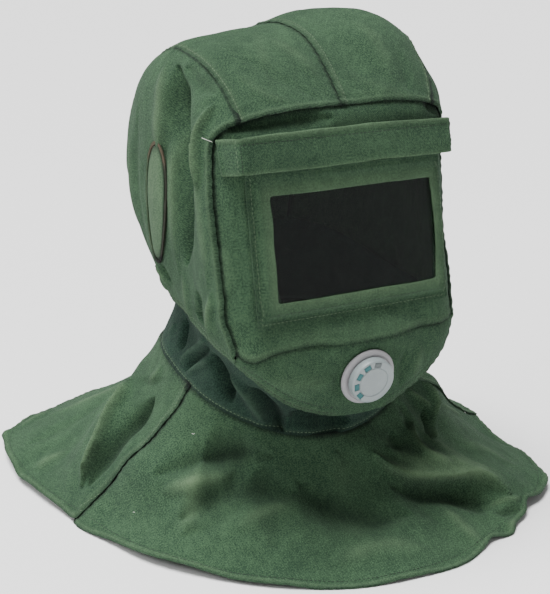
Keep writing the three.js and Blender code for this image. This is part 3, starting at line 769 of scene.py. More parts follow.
class Outward(Enum):
    """Which way is out of a wall of cloth."""

    FROM_MIDDLE = "away from the middle of the bag"
    ROUND = "away from the upright axis"
    ABOVE = "up, and away from the upright axis"

    def side(self, place: Vector) -> Vector:
        """The outward way at a place.

        Args:
            place: The place on the wall.

        Returns:
            The way out of the wall there, one metre long.
        """
        if self is Outward.FROM_MIDDLE:
            return (place - BAG_MIDDLE).normalized()
        away = Vector((place.x, place.y, 0)).normalized()
        return away if self is Outward.ROUND else (away * 0.7 + Vector((0, 0, 1))).normalized()


@dataclass(frozen=True)
class Fold:
    """A fold or dent that is laid where the camera sees it.

    The width and height are in millimetres, and a dent's height is below zero. Crisp is from 0,
    rounded, to 1, creased. Fade is the share of its length over which each end runs out.
    """

    path: tuple[Pixel, ...]
    width: float
    height: float
    crisp: float = 0.0
    fade: float = 0.35


@dataclass(frozen=True)
class Drape:
    """A fold away from the camera, by turn in degrees from the front and by height in millimetres."""

    path: tuple[tuple[float, float], ...]
    width: float
    height: float


@dataclass(frozen=True)
class Crest:
    """How a fold rubs the cloth pale along its crest, and how much painted shade a dent's bottom gets."""

    breadth: float = 0.6
    rubbed: float = 0.55
    rubbed_from: float = 4 * MM
    rubbed_full: float = 11 * MM
    painted_shade_share: float = 0.75
    painted_shade_full_depth: float = 18 * MM

    def rub(self, height: float) -> float:
        """How worn the crest of a fold of this height is."""
        return self.rubbed * max(min(1.0, height / self.rubbed_from), height / self.rubbed_full)

    def shade(self, depth: float) -> float:
        """How much painted shade the bottom of a dent of this depth gets."""
        return self.painted_shade_share * min(1.0, depth / self.painted_shade_full_depth)


@dataclass(frozen=True)
class Pull:
    """A place where all the cloth near it is drawn aside, as the camera sees it.

    The reach is in millimetres, and the way is in pixels, to the right and down.
    """

    place: Pixel
    reach: float
    way: Pixel


@dataclass
class Cloth:
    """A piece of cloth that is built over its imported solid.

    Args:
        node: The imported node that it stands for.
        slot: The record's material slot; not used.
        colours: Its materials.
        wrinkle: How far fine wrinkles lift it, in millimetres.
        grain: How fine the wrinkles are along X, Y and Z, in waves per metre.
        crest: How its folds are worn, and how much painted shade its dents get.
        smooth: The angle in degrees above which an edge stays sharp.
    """

    node: str
    slot: str
    colours: ClothColours
    wrinkle: float = 0.7
    grain: tuple[float, float, float] = (26.0, 26.0, 14.0)
    crest: Crest = Crest()
    smooth: float = 60.0
    piece: bpy.types.Object = None
    points: np.ndarray = None
    normals: np.ndarray = None
    lift: np.ndarray = None
    shift: np.ndarray = None
    wear: np.ndarray = None
    # Painted shade at each point, from dents, creases, grooves and dark edges.
    dark: np.ndarray = None
    flat_tree: BVHTree = None
    tree: BVHTree = None

    def copy_solid(self, nodes: dict[str, bpy.types.Object]) -> None:
        """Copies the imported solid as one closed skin.

        Args:
            nodes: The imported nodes.
        """
        mesh = nodes[self.node].data.copy()
        mesh.materials.clear()
        self.piece = bpy.data.objects.new(self.node + "_cloth", mesh)
        mesh.name = self.piece.name
        bpy.context.scene.collection.objects.link(self.piece)
        with editing(self.piece):
            bpy.ops.mesh.remove_doubles(threshold=0.01 * MM)

    def read(self) -> None:
        """Reads the piece's points and the ways that they face."""
        mesh = self.piece.data
        self.points = np.empty(len(mesh.vertices) * 3)
        mesh.vertices.foreach_get("co", self.points)
        self.points = self.points.reshape(-1, 3)
        self.normals = np.array([n.vector for n in mesh.vertex_normals])
        count = len(self.points)
        self.lift, self.wear, self.dark = np.zeros(count), np.zeros(count), np.zeros(count)
        self.shift = np.zeros((count, 3))
        self.flat_tree = self.surface()

    def surface(self) -> BVHTree:
        """The piece's surface, for finding places on it."""
        polygons = [tuple(p.vertices) for p in self.piece.data.polygons]
        return BVHTree.FromPolygons([Vector(p) for p in self.points], polygons)

    def press(self, away: np.ndarray, width: float, height: float | np.ndarray, crisp: float = 0.0) -> None:
        """Lifts or dents the cloth by how far its points are from a line.

        Args:
            away: Each point's distance from the line.
            width: The fold's half width.
            height: How far it lifts.
            crisp: How creased it is, from 0 to 1.
        """
        share = away / width
        soft = np.exp(-(share**2))
        sharp = np.exp(-1.5 * share)
        self.lift += height * (soft * (1 - crisp) + sharp * crisp)

    def fold(
        self, path: np.ndarray, width: float, height: float, crisp: float = 0.0, ends: float = 0.35
    ) -> None:
        """Lays one fold along a path, with wear on its crest and painted shade in a dent's bottom.

        Args:
            path: The path on the flat cloth, as rows.
            width: The fold's half width.
            height: How far it lifts, or below zero how far it dips.
            crisp: How creased it is, from 0 to 1.
            ends: The share of its length over which each end fades.
        """
        away, place = along_path(self.points, path)
        length = float(np.linalg.norm(np.diff(path, axis=0), axis=1).sum())
        fade = ease(place / (ends * length)) * ease((length - place) / (ends * length))
        far = np.where(fade > 0.01, away / np.maximum(fade, 0.01) ** 0.5, 1.0)
        self.press(far, width, height * (0.5 + 0.5 * fade), crisp)
        # A fold's crest is worn pale; a dent's bottom gets painted shade.
        near = np.exp(-((away / (self.crest.breadth * width)) ** 2)) * fade
        if height > 0:
            self.wear += near * self.crest.rub(height)
        else:
            self.dark += near * self.crest.shade(-height)

    def folds(self, folds: Sequence[Fold], camera: StudioCamera) -> None:
        """Lays the folds that the camera sees.

        Args:
            folds: The folds.
            camera: The camera that sees them.
        """
        eye = Vector(camera.place)
        for fold in folds:
            hits = [self.flat_tree.ray_cast(eye, camera.ray(pixel)) for pixel in fold.path]
            found = [hit[0] for hit in hits if hit[0] is not None]
            if len(found) < 2:
                log.warning("%s: a fold at %s misses the cloth", self.node, fold.path[0])
                continue
            self.fold(smooth_path(found), fold.width * MM, fold.height * MM, fold.crisp, fold.fade)

    def drapes(self, drapes: Sequence[Drape]) -> None:
        """Lays the folds of the sides and the back.

        Args:
            drapes: The folds.
        """
        for drape in drapes:
            found = []
            for turn, height in drape.path:
                away = Vector((math.sin(math.radians(turn)), -math.cos(math.radians(turn)), 0))
                start = Vector((0, 0, height * MM)) + away * 0.6
                hit = self.flat_tree.ray_cast(start, -away)
                if hit[0] is not None:
                    found.append(hit[0])
            if len(found) > 1:
                self.fold(smooth_path(found), drape.width * MM, drape.height * MM)

    def crumple(self) -> None:
        """Adds the fine wrinkles that all worn canvas has."""
        grain = np.array(self.grain)
        for scale, share in WRINKLE_WAVES:
            waves = [noise.noise(Vector(place)) for place in self.points * grain * scale]
            self.lift += np.array(waves) * share * self.wrinkle * MM

    def shape(self) -> None:
        """Moves the points by their lift and stores the wear and the painted shade."""
        mesh = self.piece.data
        self.points = self.points + self.normals * self.lift[:, None] + self.shift
        self.points[:, 2] = np.maximum(self.points[:, 2], LOWEST_CLOTH)
        mesh.vertices.foreach_set("co", self.points.ravel())
        mesh.update()
        # The dark attribute carries the painted shade.
        for name, values in (("wear", self.wear), ("dark", self.dark)):
            layer = mesh.attributes.new(name, "FLOAT", "POINT")
            layer.data.foreach_set("value", np.clip(values, 0, 1).astype(np.float32))
        self.tree = self.surface()

    def on_cloth(
        self, places: np.ndarray, side: Sequence[Vector] | None = None
    ) -> tuple[np.ndarray, np.ndarray]:
        """Moves places of the flat cloth onto its folds.

        Args:
            places: Places near the cloth before it was folded, as rows.
            side: The way out at each, if it is known.

        Returns:
            The places on the folded cloth that were found, and the ways that it faces there.
        """
        found, ways = [], []
        for i, place in enumerate(places):
            near, normal, _, _ = self.flat_tree.find_nearest(Vector(place))
            way = side[i] if side else normal
            hit, faced, _, _ = self.tree.ray_cast(near + way * SEARCH_FROM, -way, SEARCH_DEPTH)
            if hit is not None:
                found.append(hit)
                ways.append(faced)
        return np.array(found), np.array(ways)

    def dress(self, materials: Sequence[bpy.types.Material]) -> None:
        """Gives the piece its materials and its smooth shading, parents it to the root body and hides the
        node that it replaces.

        Args:
            materials: Its materials, by index.
        """
        for material in materials:
            self.piece.data.materials.append(material)
        alone(self.piece)
        bpy.ops.object.shade_smooth_by_angle(angle=math.radians(self.smooth))
        enter(self.piece, self.node)


@dataclass
class Panel(Cloth):
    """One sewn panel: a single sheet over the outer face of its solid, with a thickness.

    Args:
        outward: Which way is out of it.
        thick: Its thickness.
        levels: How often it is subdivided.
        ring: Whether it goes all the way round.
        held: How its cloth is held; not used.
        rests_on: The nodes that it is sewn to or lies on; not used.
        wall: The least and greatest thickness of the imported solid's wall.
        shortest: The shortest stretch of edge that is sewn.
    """

    outward: Outward = Outward.FROM_MIDDLE
    thick: float = 1.7 * MM
    levels: int = 3
    ring: bool = False
    held: str = "hung"
    rests_on: tuple[str, ...] = ()
    wall: tuple[float, float] = (1.2 * MM, 3.4 * MM)
    shortest: float = 15 * MM
    loops: list[list[int]] = field(default_factory=list)
    pattern: tuple[float, float, float] = (0.0, 0.0, 0.0)

    def lay(self, nodes: dict[str, bpy.types.Object]) -> None:
        """Makes the flat panel: the solid's outer face, flattened for its weave and made smooth.

        Args:
            nodes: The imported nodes.
        """
        self.copy_solid(nodes)
        self.keep_outer()
        with editing(self.piece):
            bpy.ops.mesh.tris_convert_to_quads(face_threshold=1.0, shape_threshold=1.2)
        self.flatten()
        modify(
            self.piece,
            "SUBSURF",
            levels=self.levels,
            render_levels=self.levels,
            boundary_smooth="PRESERVE_CORNERS",
        )
        self.read()
        self.find_edges()

    def keep_outer(self) -> None:
        """Takes away the solid's inner face and its rims."""
        sheet = bmesh.new()
        sheet.from_mesh(self.piece.data)
        sheet.normal_update()
        tree = BVHTree.FromBMesh(sheet)
        thin, thick = self.wall
        start, reach = 0.05 * MM, 5 * MM
        gone = []
        for face in sheet.faces:
            centre = face.calc_center_median()
            _, facing, _, away = tree.ray_cast(centre - face.normal * start, -face.normal, reach)
            wall = facing is not None and thin < away < thick and facing.dot(face.normal) < BACK_TO_BACK
            if not wall or face.normal.dot(self.outward.side(centre)) < 0:
                gone.append(face)
        bmesh.ops.delete(sheet, geom=gone, context="FACES")
        loose = [v for v in sheet.verts if not v.link_faces]
        bmesh.ops.delete(sheet, geom=loose, context="VERTS")
        sheet.to_mesh(self.piece.data)
        sheet.free()

    def flatten(self) -> None:
        """Unwraps the panel to the flat shape that it was cut to, in metres, warp upright."""
        mesh = self.piece.data
        if self.ring:
            steepness, seam_reach = 0.6, 4 * MM
            for edge in mesh.edges:
                a, b = (mesh.vertices[i].co for i in edge.vertices)
                middle = (a + b) / 2
                upright = abs(a.z - b.z) > steepness * (a - b).length
                edge.use_seam = upright and middle.y > 0 and abs(middle.x) < seam_reach
        with editing(self.piece):
            bpy.ops.uv.unwrap(method="ANGLE_BASED", margin=0.001)
        layer = mesh.uv_layers[0]
        layer.name = "UVMap"
        flat = np.empty(len(layer.data) * 2)
        layer.data.foreach_get("uv", flat)
        flat = flat.reshape(-1, 2)
        corners = np.empty(len(mesh.loops), int)
        mesh.loops.foreach_get("vertex_index", corners)
        heights = np.array([mesh.vertices[i].co.z for i in corners])
        cloth = sum(p.area for p in mesh.polygons)
        drawn = 0.0
        for polygon in mesh.polygons:
            x, y = flat[list(polygon.loop_indices)].T
            drawn += abs(float(x @ np.roll(y, -1) - y @ np.roll(x, -1))) / 2
        flat *= math.sqrt(cloth / max(drawn, 1e-9))
        flat -= flat.mean(0)
        slope = np.linalg.lstsq(np.c_[flat, np.ones(len(flat))], heights, rcond=None)[0][:2]
        turn = math.atan2(slope[0], slope[1])
        c, s = math.cos(turn), math.sin(turn)
        flat = flat @ np.array([[c, s], [-s, c]])
        layer.data.foreach_set("uv", flat.ravel())
        wide, long = flat.max(0) - flat.min(0)
        self.pattern = (float(wide), float(long), float(cloth))

    def find_edges(self) -> None:
        """Walks round the panel's free edges."""
        mesh = self.piece.data
        used: dict[tuple[int, int], int] = {}
        for polygon in mesh.polygons:
            for key in polygon.edge_keys:
                used[key] = used.get(key, 0) + 1
        beside: dict[int, list[int]] = {}
        for (a, b), count in used.items():
            if count == 1:
                beside.setdefault(a, []).append(b)
                beside.setdefault(b, []).append(a)
        left = set(beside)
        while left:
            loop = [left.pop()]
            while True:
                ahead = [v for v in beside[loop[-1]] if v in left]
                if not ahead:
                    break
                loop.append(ahead[0])
                left.discard(ahead[0])
            if len(loop) > 8:
                self.loops.append(loop)

    def edge_points(self) -> np.ndarray:
        """All the points of the free edges."""
        return self.points[[i for loop in self.loops for i in loop]]

    def runs(self, wanted: np.ndarray) -> list[np.ndarray]:
        """The stretches of the free edges whose points are wanted.

        Args:
            wanted: For each point of the panel, whether it is wanted.

        Returns:
            The indices of each stretch that is long enough to sew, in order.
        """
        found = []
        for loop in self.loops:
            flags = [bool(wanted[i]) for i in loop]
            if all(flags):
                found.append(np.array(loop + loop[:1]))
                continue
            first = flags.index(False)
            turned = loop[first:] + loop[:first]
            run: list[int] = []
            missed = 0
            for i in [*turned, turned[0]]:
                if wanted[i]:
                    run.append(i)
                    missed = 0
                    continue
                missed += 1
                if missed > 2 and run:
                    found.append(np.array(run))
                    run = []
            if run:
                found.append(np.array(run))
        return [r for r in found if len(r) > 3 and np.ptp(self.points[r], axis=0).max() > self.shortest]

    def inward(self, run: np.ndarray) -> np.ndarray:
        """The way into the cloth from its edge.

        Args:
            run: The indices of a stretch of edge.

        Returns:
            The way at each of its points, as rows.
        """
        path = self.points[run]
        along = np.gradient(path, axis=0)
        along /= np.linalg.norm(along, axis=1)[:, None] + 1e-12
        ways = np.cross(self.normals[run], along)
        ways /= np.linalg.norm(ways, axis=1)[:, None] + 1e-12
        middle = len(path) // 2
        step, close = 4 * MM, 1.5 * MM
        probe = Vector(path[middle] + ways[middle] * step)
        near = self.flat_tree.find_nearest(probe)[0]
        return ways if (near - probe).length < close else -ways

    def thicken(self) -> None:
        """Gives the sheet its thickness, inwards, with its own inner and edge cloth."""
        modify(
            self.piece,
            "SOLIDIFY",
            thickness=self.thick,
            offset=-1.0,
            material_offset=1,
            material_offset_rim=2,
        )
        self.dress((self.colours.outer, self.colours.inner, self.colours.edge))


@dataclass
class Patch(Cloth):
    """A thick piece of folded cloth that keeps all of its solid.

    Args:
        cuts: How often each edge is cut before it is made smooth.
        flat: Its flat width and length.
        held: How its cloth is held; not used.
        rests_on: The nodes that it is sewn to; not used.
    """

    smooth: float = 50.0
    cuts: int = 2
    flat: tuple[float, float] = (0.1, 0.1)
    held: str = "laid"
    rests_on: tuple[str, ...] = ()
    area: float = 0.0

    def lay(self, nodes: dict[str, bpy.types.Object]) -> None:
        """Copies the solid, rounds its edges and gives it a weave.

        Args:
            nodes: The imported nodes.
        """
        self.copy_solid(nodes)
        self.area = sum(p.area for p in self.piece.data.polygons) / 2
        with editing(self.piece):
            bpy.ops.mesh.tris_convert_to_quads(face_threshold=1.0, shape_threshold=1.2)
            bpy.ops.mesh.subdivide(number_cuts=self.cuts)
        modify(self.piece, "SUBSURF", levels=1, render_levels=1)
        with editing(self.piece):
            bpy.ops.uv.cube_project(cube_size=1.0, correct_aspect=False, scale_to_bounds=False)
        self.piece.data.uv_layers[0].name = "UVMap"
        self.read()

    def complete(self) -> None:
        """Shapes and dresses the patch."""
        log.info("%s: flat %s, %.5f square metres", self.node, self.flat, self.area)
        self.crumple()
        self.shape()
        self.dress((self.colours.outer,))


def draw_aside(panels: Sequence[Cloth], pulls: Sequence[Pull], camera: StudioCamera) -> None:
    """Draws the cloth aside at some places, all panels alike so that their seams hold.

    Args:
        panels: The panels, before they are shaped.
        pulls: Where, and which way.
        camera: The camera that sees the places.
    """
    eye = np.array(camera.place)
    turn = np.array(camera.turn())
    focal = camera.focal()
    cloth = np.vstack([panel.points for panel in panels])
    ways = cloth - eye
    far = np.linalg.norm(ways, axis=1)
    for pull in pulls:
        ray = np.array(camera.ray(pull.place))
        off = np.arccos(np.clip(ways @ ray / far, -1, 1))
        nearest = int(np.argmin(off * OFF_RAY_WEIGHT + far))
        centre, pixel = cloth[nearest], far[nearest] / focal
        aside = (turn[:, 0] * pull.way[0] - turn[:, 1] * pull.way[1]) * pixel
        for panel in panels:
            away = np.linalg.norm(panel.points - centre, axis=1)
            panel.shift += np.exp(-((away / (pull.reach * MM)) ** 2))[:, None] * aside


# Seams, hems and stitches


class Thread(Enum):
    """The threads that the hood is sewn with."""

    PALE = "pale_thread"
    DARK = "dark_thread"


@dataclass
class Needle:
    """Sews rows of stitches, all alike, each row one piece.

    Args:
        wardrobe: The finishes.
        length: A stitch's length.
        radius: Its radius.
        pitch: The distance from one to the next.
        sunk: How deep it lies in the cloth.
        fewest: The fewest stitches that make a row.
        widest: The widest gap in a row, in pitches.
    """

    wardrobe: Wardrobe
    length: float = 2.5 * MM
    radius: float = 0.36 * MM
    pitch: float = 3.5 * MM
    sunk: float = 0.05 * MM
    fewest: int = 3
    widest: float = 2.5
    stitch: tuple[np.ndarray, list[tuple[int, ...]]] = None

    def model(self) -> None:
        """Models the one stitch that all rows copy: a short thick thread with rounded ends."""
        bpy.ops.mesh.primitive_uv_sphere_add(segments=6, ring_count=5, radius=1.0)
        bead = new_piece("stitch_model")
        with editing(bead):
            bpy.ops.transform.resize(value=(self.radius, self.radius, self.length / 2))
        points = np.array([v.co for v in bead.data.vertices])
        self.stitch = (points, [tuple(p.vertices) for p in bead.data.polygons])
        bpy.data.objects.remove(bead)

    def sew(
        self, name: str, cloth: Cloth, path: np.ndarray, thread: Thread, side: Vector | None = None
    ) -> None:
        """Sews a row of stitches along a path on the cloth.

        Args:
            name: The row's name.
            cloth: The cloth that it goes through.
            path: Places along it on the flat cloth, as rows.
            thread: Which thread.
            side: The way out, if it is one for the whole row.
        """
        places = even_path(path, self.pitch)
        if len(places) < self.fewest:
            return
        seats, ways = cloth.on_cloth(places, [side] * len(places) if side else None)
        if len(seats) < self.fewest:
            log.warning("%s: found no cloth", name)
            return
        along = np.gradient(seats, axis=0)
        shape, faces = self.stitch
        points, polygons = [], []
        for seat, way, ahead in zip(seats, ways, along):
            gap = np.linalg.norm(ahead)
            if gap > self.widest * self.pitch or gap < 1e-6:
                continue
            ahead = ahead / gap
            across = np.cross(way, ahead)
            across /= np.linalg.norm(across) + 1e-12
            up = np.cross(ahead, across)
            base = len(points) * len(shape)
            frame = np.stack([across, up, ahead])
            points.append(seat - way * self.sunk + shape @ frame)
            polygons += [tuple(base + i for i in face) for face in faces]
        mesh = bpy.data.meshes.new(name)
        mesh.from_pydata(np.vstack(points).tolist(), [], polygons)
        row = bpy.data.objects.new(name, mesh)
        bpy.context.scene.collection.objects.link(row)
        with editing(row):
            bpy.ops.mesh.normals_make_consistent(inside=False)
        mesh.materials.append(getattr(self.wardrobe, thread.value))
        alone(row)
        bpy.ops.object.shade_smooth()
        enter(row)


@dataclass(frozen=True)
class Seam:
    """Where one panel is lapped over another and sewn. Lengths are in millimetres."""

    over: str
    under: str
    lap: float = 0.8
    dip: float = 1.8
    width: float = 4.0
    roll: float = 1.2
    rows: tuple[float, ...] = (4.5,)
    thread: Thread = Thread.DARK
    pucker: float = 0.35
    reach: float = 1.5
    tuck: float = 2.2


@dataclass(frozen=True)
class Hem:
    """A free edge that is turned over and sewn. Lengths are in millimetres."""

    panel: str
    rows: tuple[float, ...]
    thread: Thread = Thread.DARK
    bead: float = 0.9
    width: float = 4.0
    pucker: float = 0.4
    clear_of: tuple[float, float, float] | None = None


@dataclass
class Sewing:
    """Draws the seams and hems into the panels, and then sews them.

    Args:
        panels: The panels by node.
        needle: What sews them.
        turned: How far from the very edge the turned cloth rolls under.
        puckers: The lengths of the puckers' two waves.
        puckered: How far from the edge they reach.
        creased: How far from the edge the painted shade of its crease reaches.
        rubbed: How far from the edge its ridge is worn.
        rubbed_width: The half width of that wear.
        rubbed_share: How worn it is, from 0 to 1.
        sunk: How deep a row of stitches sinks.
        sunk_width: The half width of the groove.
        sunk_painted_shade: How dark the groove is, from 0 to 1.
        lapped: How far the upper panel's edge goes over the lower panel.
        lowered: How far the lower panel's edge goes under it.
        hem_roll: How far the very edge of a hem turns under.
        near: How far apart the edges of two sewn panels can be.
        mended: How far from the valve's hole the hem is plain.
        over_painted_shade: How dark the crease of a seam's upper panel is, from 0 to 1.
        under_painted_shade: How dark its lower panel is.
        hem_painted_shade: How dark a hem's crease is.
    """

    panels: dict[str, Panel]
    needle: Needle
    turned: float = 1.1 * MM
    puckers: tuple[float, float] = (9 * MM, 31 * MM)
    puckered: float = 6 * MM
    creased: float = 1.9 * MM
    rubbed: float = 3 * MM
    rubbed_width: float = 1.6 * MM
    rubbed_share: float = 0.28
    sunk: float = 0.35 * MM
    sunk_width: float = 1.2 * MM
    sunk_painted_shade: float = 0.12
    lapped: float = 0.5 * MM
    lowered: float = 0.8 * MM
    hem_roll: float = 0.8 * MM
    near: float = 2.5 * MM
    mended: float = 40 * MM
    over_painted_shade: float = 0.35
    under_painted_shade: float = 0.8
    hem_painted_shade: float = 0.25
    rows: list[tuple[str, Panel, np.ndarray, Thread]] = field(default_factory=list)

    def shape_edge(
        self,
        panel: Panel,
        path: np.ndarray,
        height: float,
        width: float,
        roll: float,
        pucker: float,
        dark: float,
    ) -> None:
        """Shapes a panel beside an edge.

        Args:
            panel: The panel.
            path: The edge, as rows.
            height: How far the edge stands up, or below zero how far it dips.
            width: How far into the panel that reaches.
            roll: How far the very edge turns under.
            pucker: How far the sewing puckers the cloth.
            dark: How much painted shade the edge's crease gets, from 0 to 1.
        """
        away, place = along_path(panel.points, path)
        panel.lift += height * np.exp(-((away / width) ** 2))
        panel.lift -= roll * np.exp(-((away / self.turned) ** 2))
        short, long = self.puckers
        wave = np.sin(place * 2 * math.pi / short + 1.7 * np.sin(place * 2 * math.pi / long))
        panel.lift += pucker * wave * np.exp(-((away / self.puckered) ** 2))
        # Painted shade in the crease along the edge.
        panel.dark += 1.3 * dark * np.exp(-((away / self.creased) ** 2))
        if height > 0:
            panel.wear += self.rubbed_share * np.exp(-(((away - self.rubbed) / self.rubbed_width) ** 2))

    def groove(self, panel: Panel, path: np.ndarray, insets: Sequence[float]) -> None:
        """Sinks the cloth a little under each row of stitches, with painted shade in the groove.

        Args:
            panel: The panel.
            path: The edge, as rows.
            insets: How far in from it each row is, in millimetres.
        """
        away, _ = along_path(panel.points, path)
        for inset in insets:
            panel.lift -= self.sunk * np.exp(-(((away - inset * MM) / self.sunk_width) ** 2))
            # Painted shade in the groove under the row.
            panel.dark += self.sunk_painted_shade * np.exp(-(((away - inset * MM) / (1.0 * MM)) ** 2))

    def beside(self, panel: Panel, other: Panel, reach: float) -> np.ndarray:
        """Which of a panel's points lie at another panel's edge.

        Args:
            panel: The panel.
            other: The other panel.
            reach: How near they have to be.

        Returns:
            For each point of the panel, whether it lies there.
        """
        theirs = other.edge_points()
        wanted = np.zeros(len(panel.points), bool)
        for loop in panel.loops:
            ours = panel.points[loop]
            gaps = np.linalg.norm(ours[:, None] - theirs[None], axis=2).min(1)
            wanted[loop] = gaps < reach
        return wanted

    def plan_rows(
        self, name: str, panel: Panel, run: np.ndarray, insets: Sequence[float], thread: Thread
    ) -> None:
        """Notes the rows of stitches along an edge.

        Args:
            name: The rows' name.
            panel: The panel.
            run: The indices of a stretch of its edge.
            insets: How far in from it each row is, in millimetres.
            thread: Which thread.
        """
        ways = panel.inward(run)
        for inset in insets:
            path = panel.points[run] + ways * inset * MM
            self.rows.append((name, panel, path, thread))

    def seam(self, seam: Seam) -> None:
        """Shapes both sides of a seam and plans its stitches.

        Args:
            seam: The seam.
        """
        over, under = self.panels[seam.over], self.panels[seam.under]
        width, roll, pucker, reach = (
            value * MM for value in (seam.width, seam.roll, seam.pucker, seam.reach)
        )
        for i, run in enumerate(over.runs(self.beside(over, under, reach))):
            path = over.points[run]
            self.shape_edge(over, path, seam.lap * MM, width, roll, pucker, self.over_painted_shade)
            self.groove(over, path, seam.rows)
            name = f"stitches_{seam.over}_on_{seam.under}_{i + 1}"
            self.plan_rows(name, over, run, seam.rows, seam.thread)
            over.shift[run] -= over.inward(run) * self.lapped
        for run in under.runs(self.beside(under, over, reach)):
            path = under.points[run]
            self.shape_edge(under, path, -seam.dip * MM, width, 0.0, pucker, self.under_painted_shade)
            under.shift[run] -= under.inward(run) * seam.tuck * MM + under.normals[run] * self.lowered

    def hem(self, hem: Hem) -> None:
        """Shapes a free edge and plans its stitches.

        Args:
            hem: The edge's hem.
        """
        panel = self.panels[hem.panel]
        free = np.zeros(len(panel.points), bool)
        for loop in panel.loops:
            free[loop] = True
        for other in self.panels.values():
            if other is not panel:
                free &= ~self.beside(panel, other, self.near)
        if hem.clear_of:
            free &= np.linalg.norm(panel.points - np.array(hem.clear_of), axis=1) > self.mended
        bead, width, pucker = hem.bead * MM, hem.width * MM, hem.pucker * MM
        for i, run in enumerate(panel.runs(free)):
            path = panel.points[run]
            self.shape_edge(panel, path, bead, width, self.hem_roll, pucker, self.hem_painted_shade)
            self.groove(panel, path, hem.rows)
            self.plan_rows(f"stitches_{hem.panel}_hem_{i + 1}", panel, run, hem.rows, hem.thread)

    def sew_all(self) -> None:
        """Sews all the planned rows, once the panels have their folds."""
        for i, (name, panel, path, thread) in enumerate(self.rows):
            self.needle.sew(f"{name}_{i + 1}", panel, path, thread)


# The head bag


@dataclass
class SewnPart:
    """Some panels that are laid and folded together."""

    wardrobe: Wardrobe
    camera: StudioCamera
    panels: dict[str, Panel] = field(default_factory=dict)

    def add(self, nodes: dict[str, bpy.types.Object], name: str, **details: Any) -> None:
        """Lays one panel flat on its solid.

        Args:
            nodes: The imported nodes.
            name: The panel's node.
            **details: Where it differs from a plain canvas panel.
        """
        plain = {"slot": "canvas", "colours": self.wardrobe.canvas}
        self.panels[name] = Panel(name, **{**plain, **details})
        self.panels[name].lay(nodes)


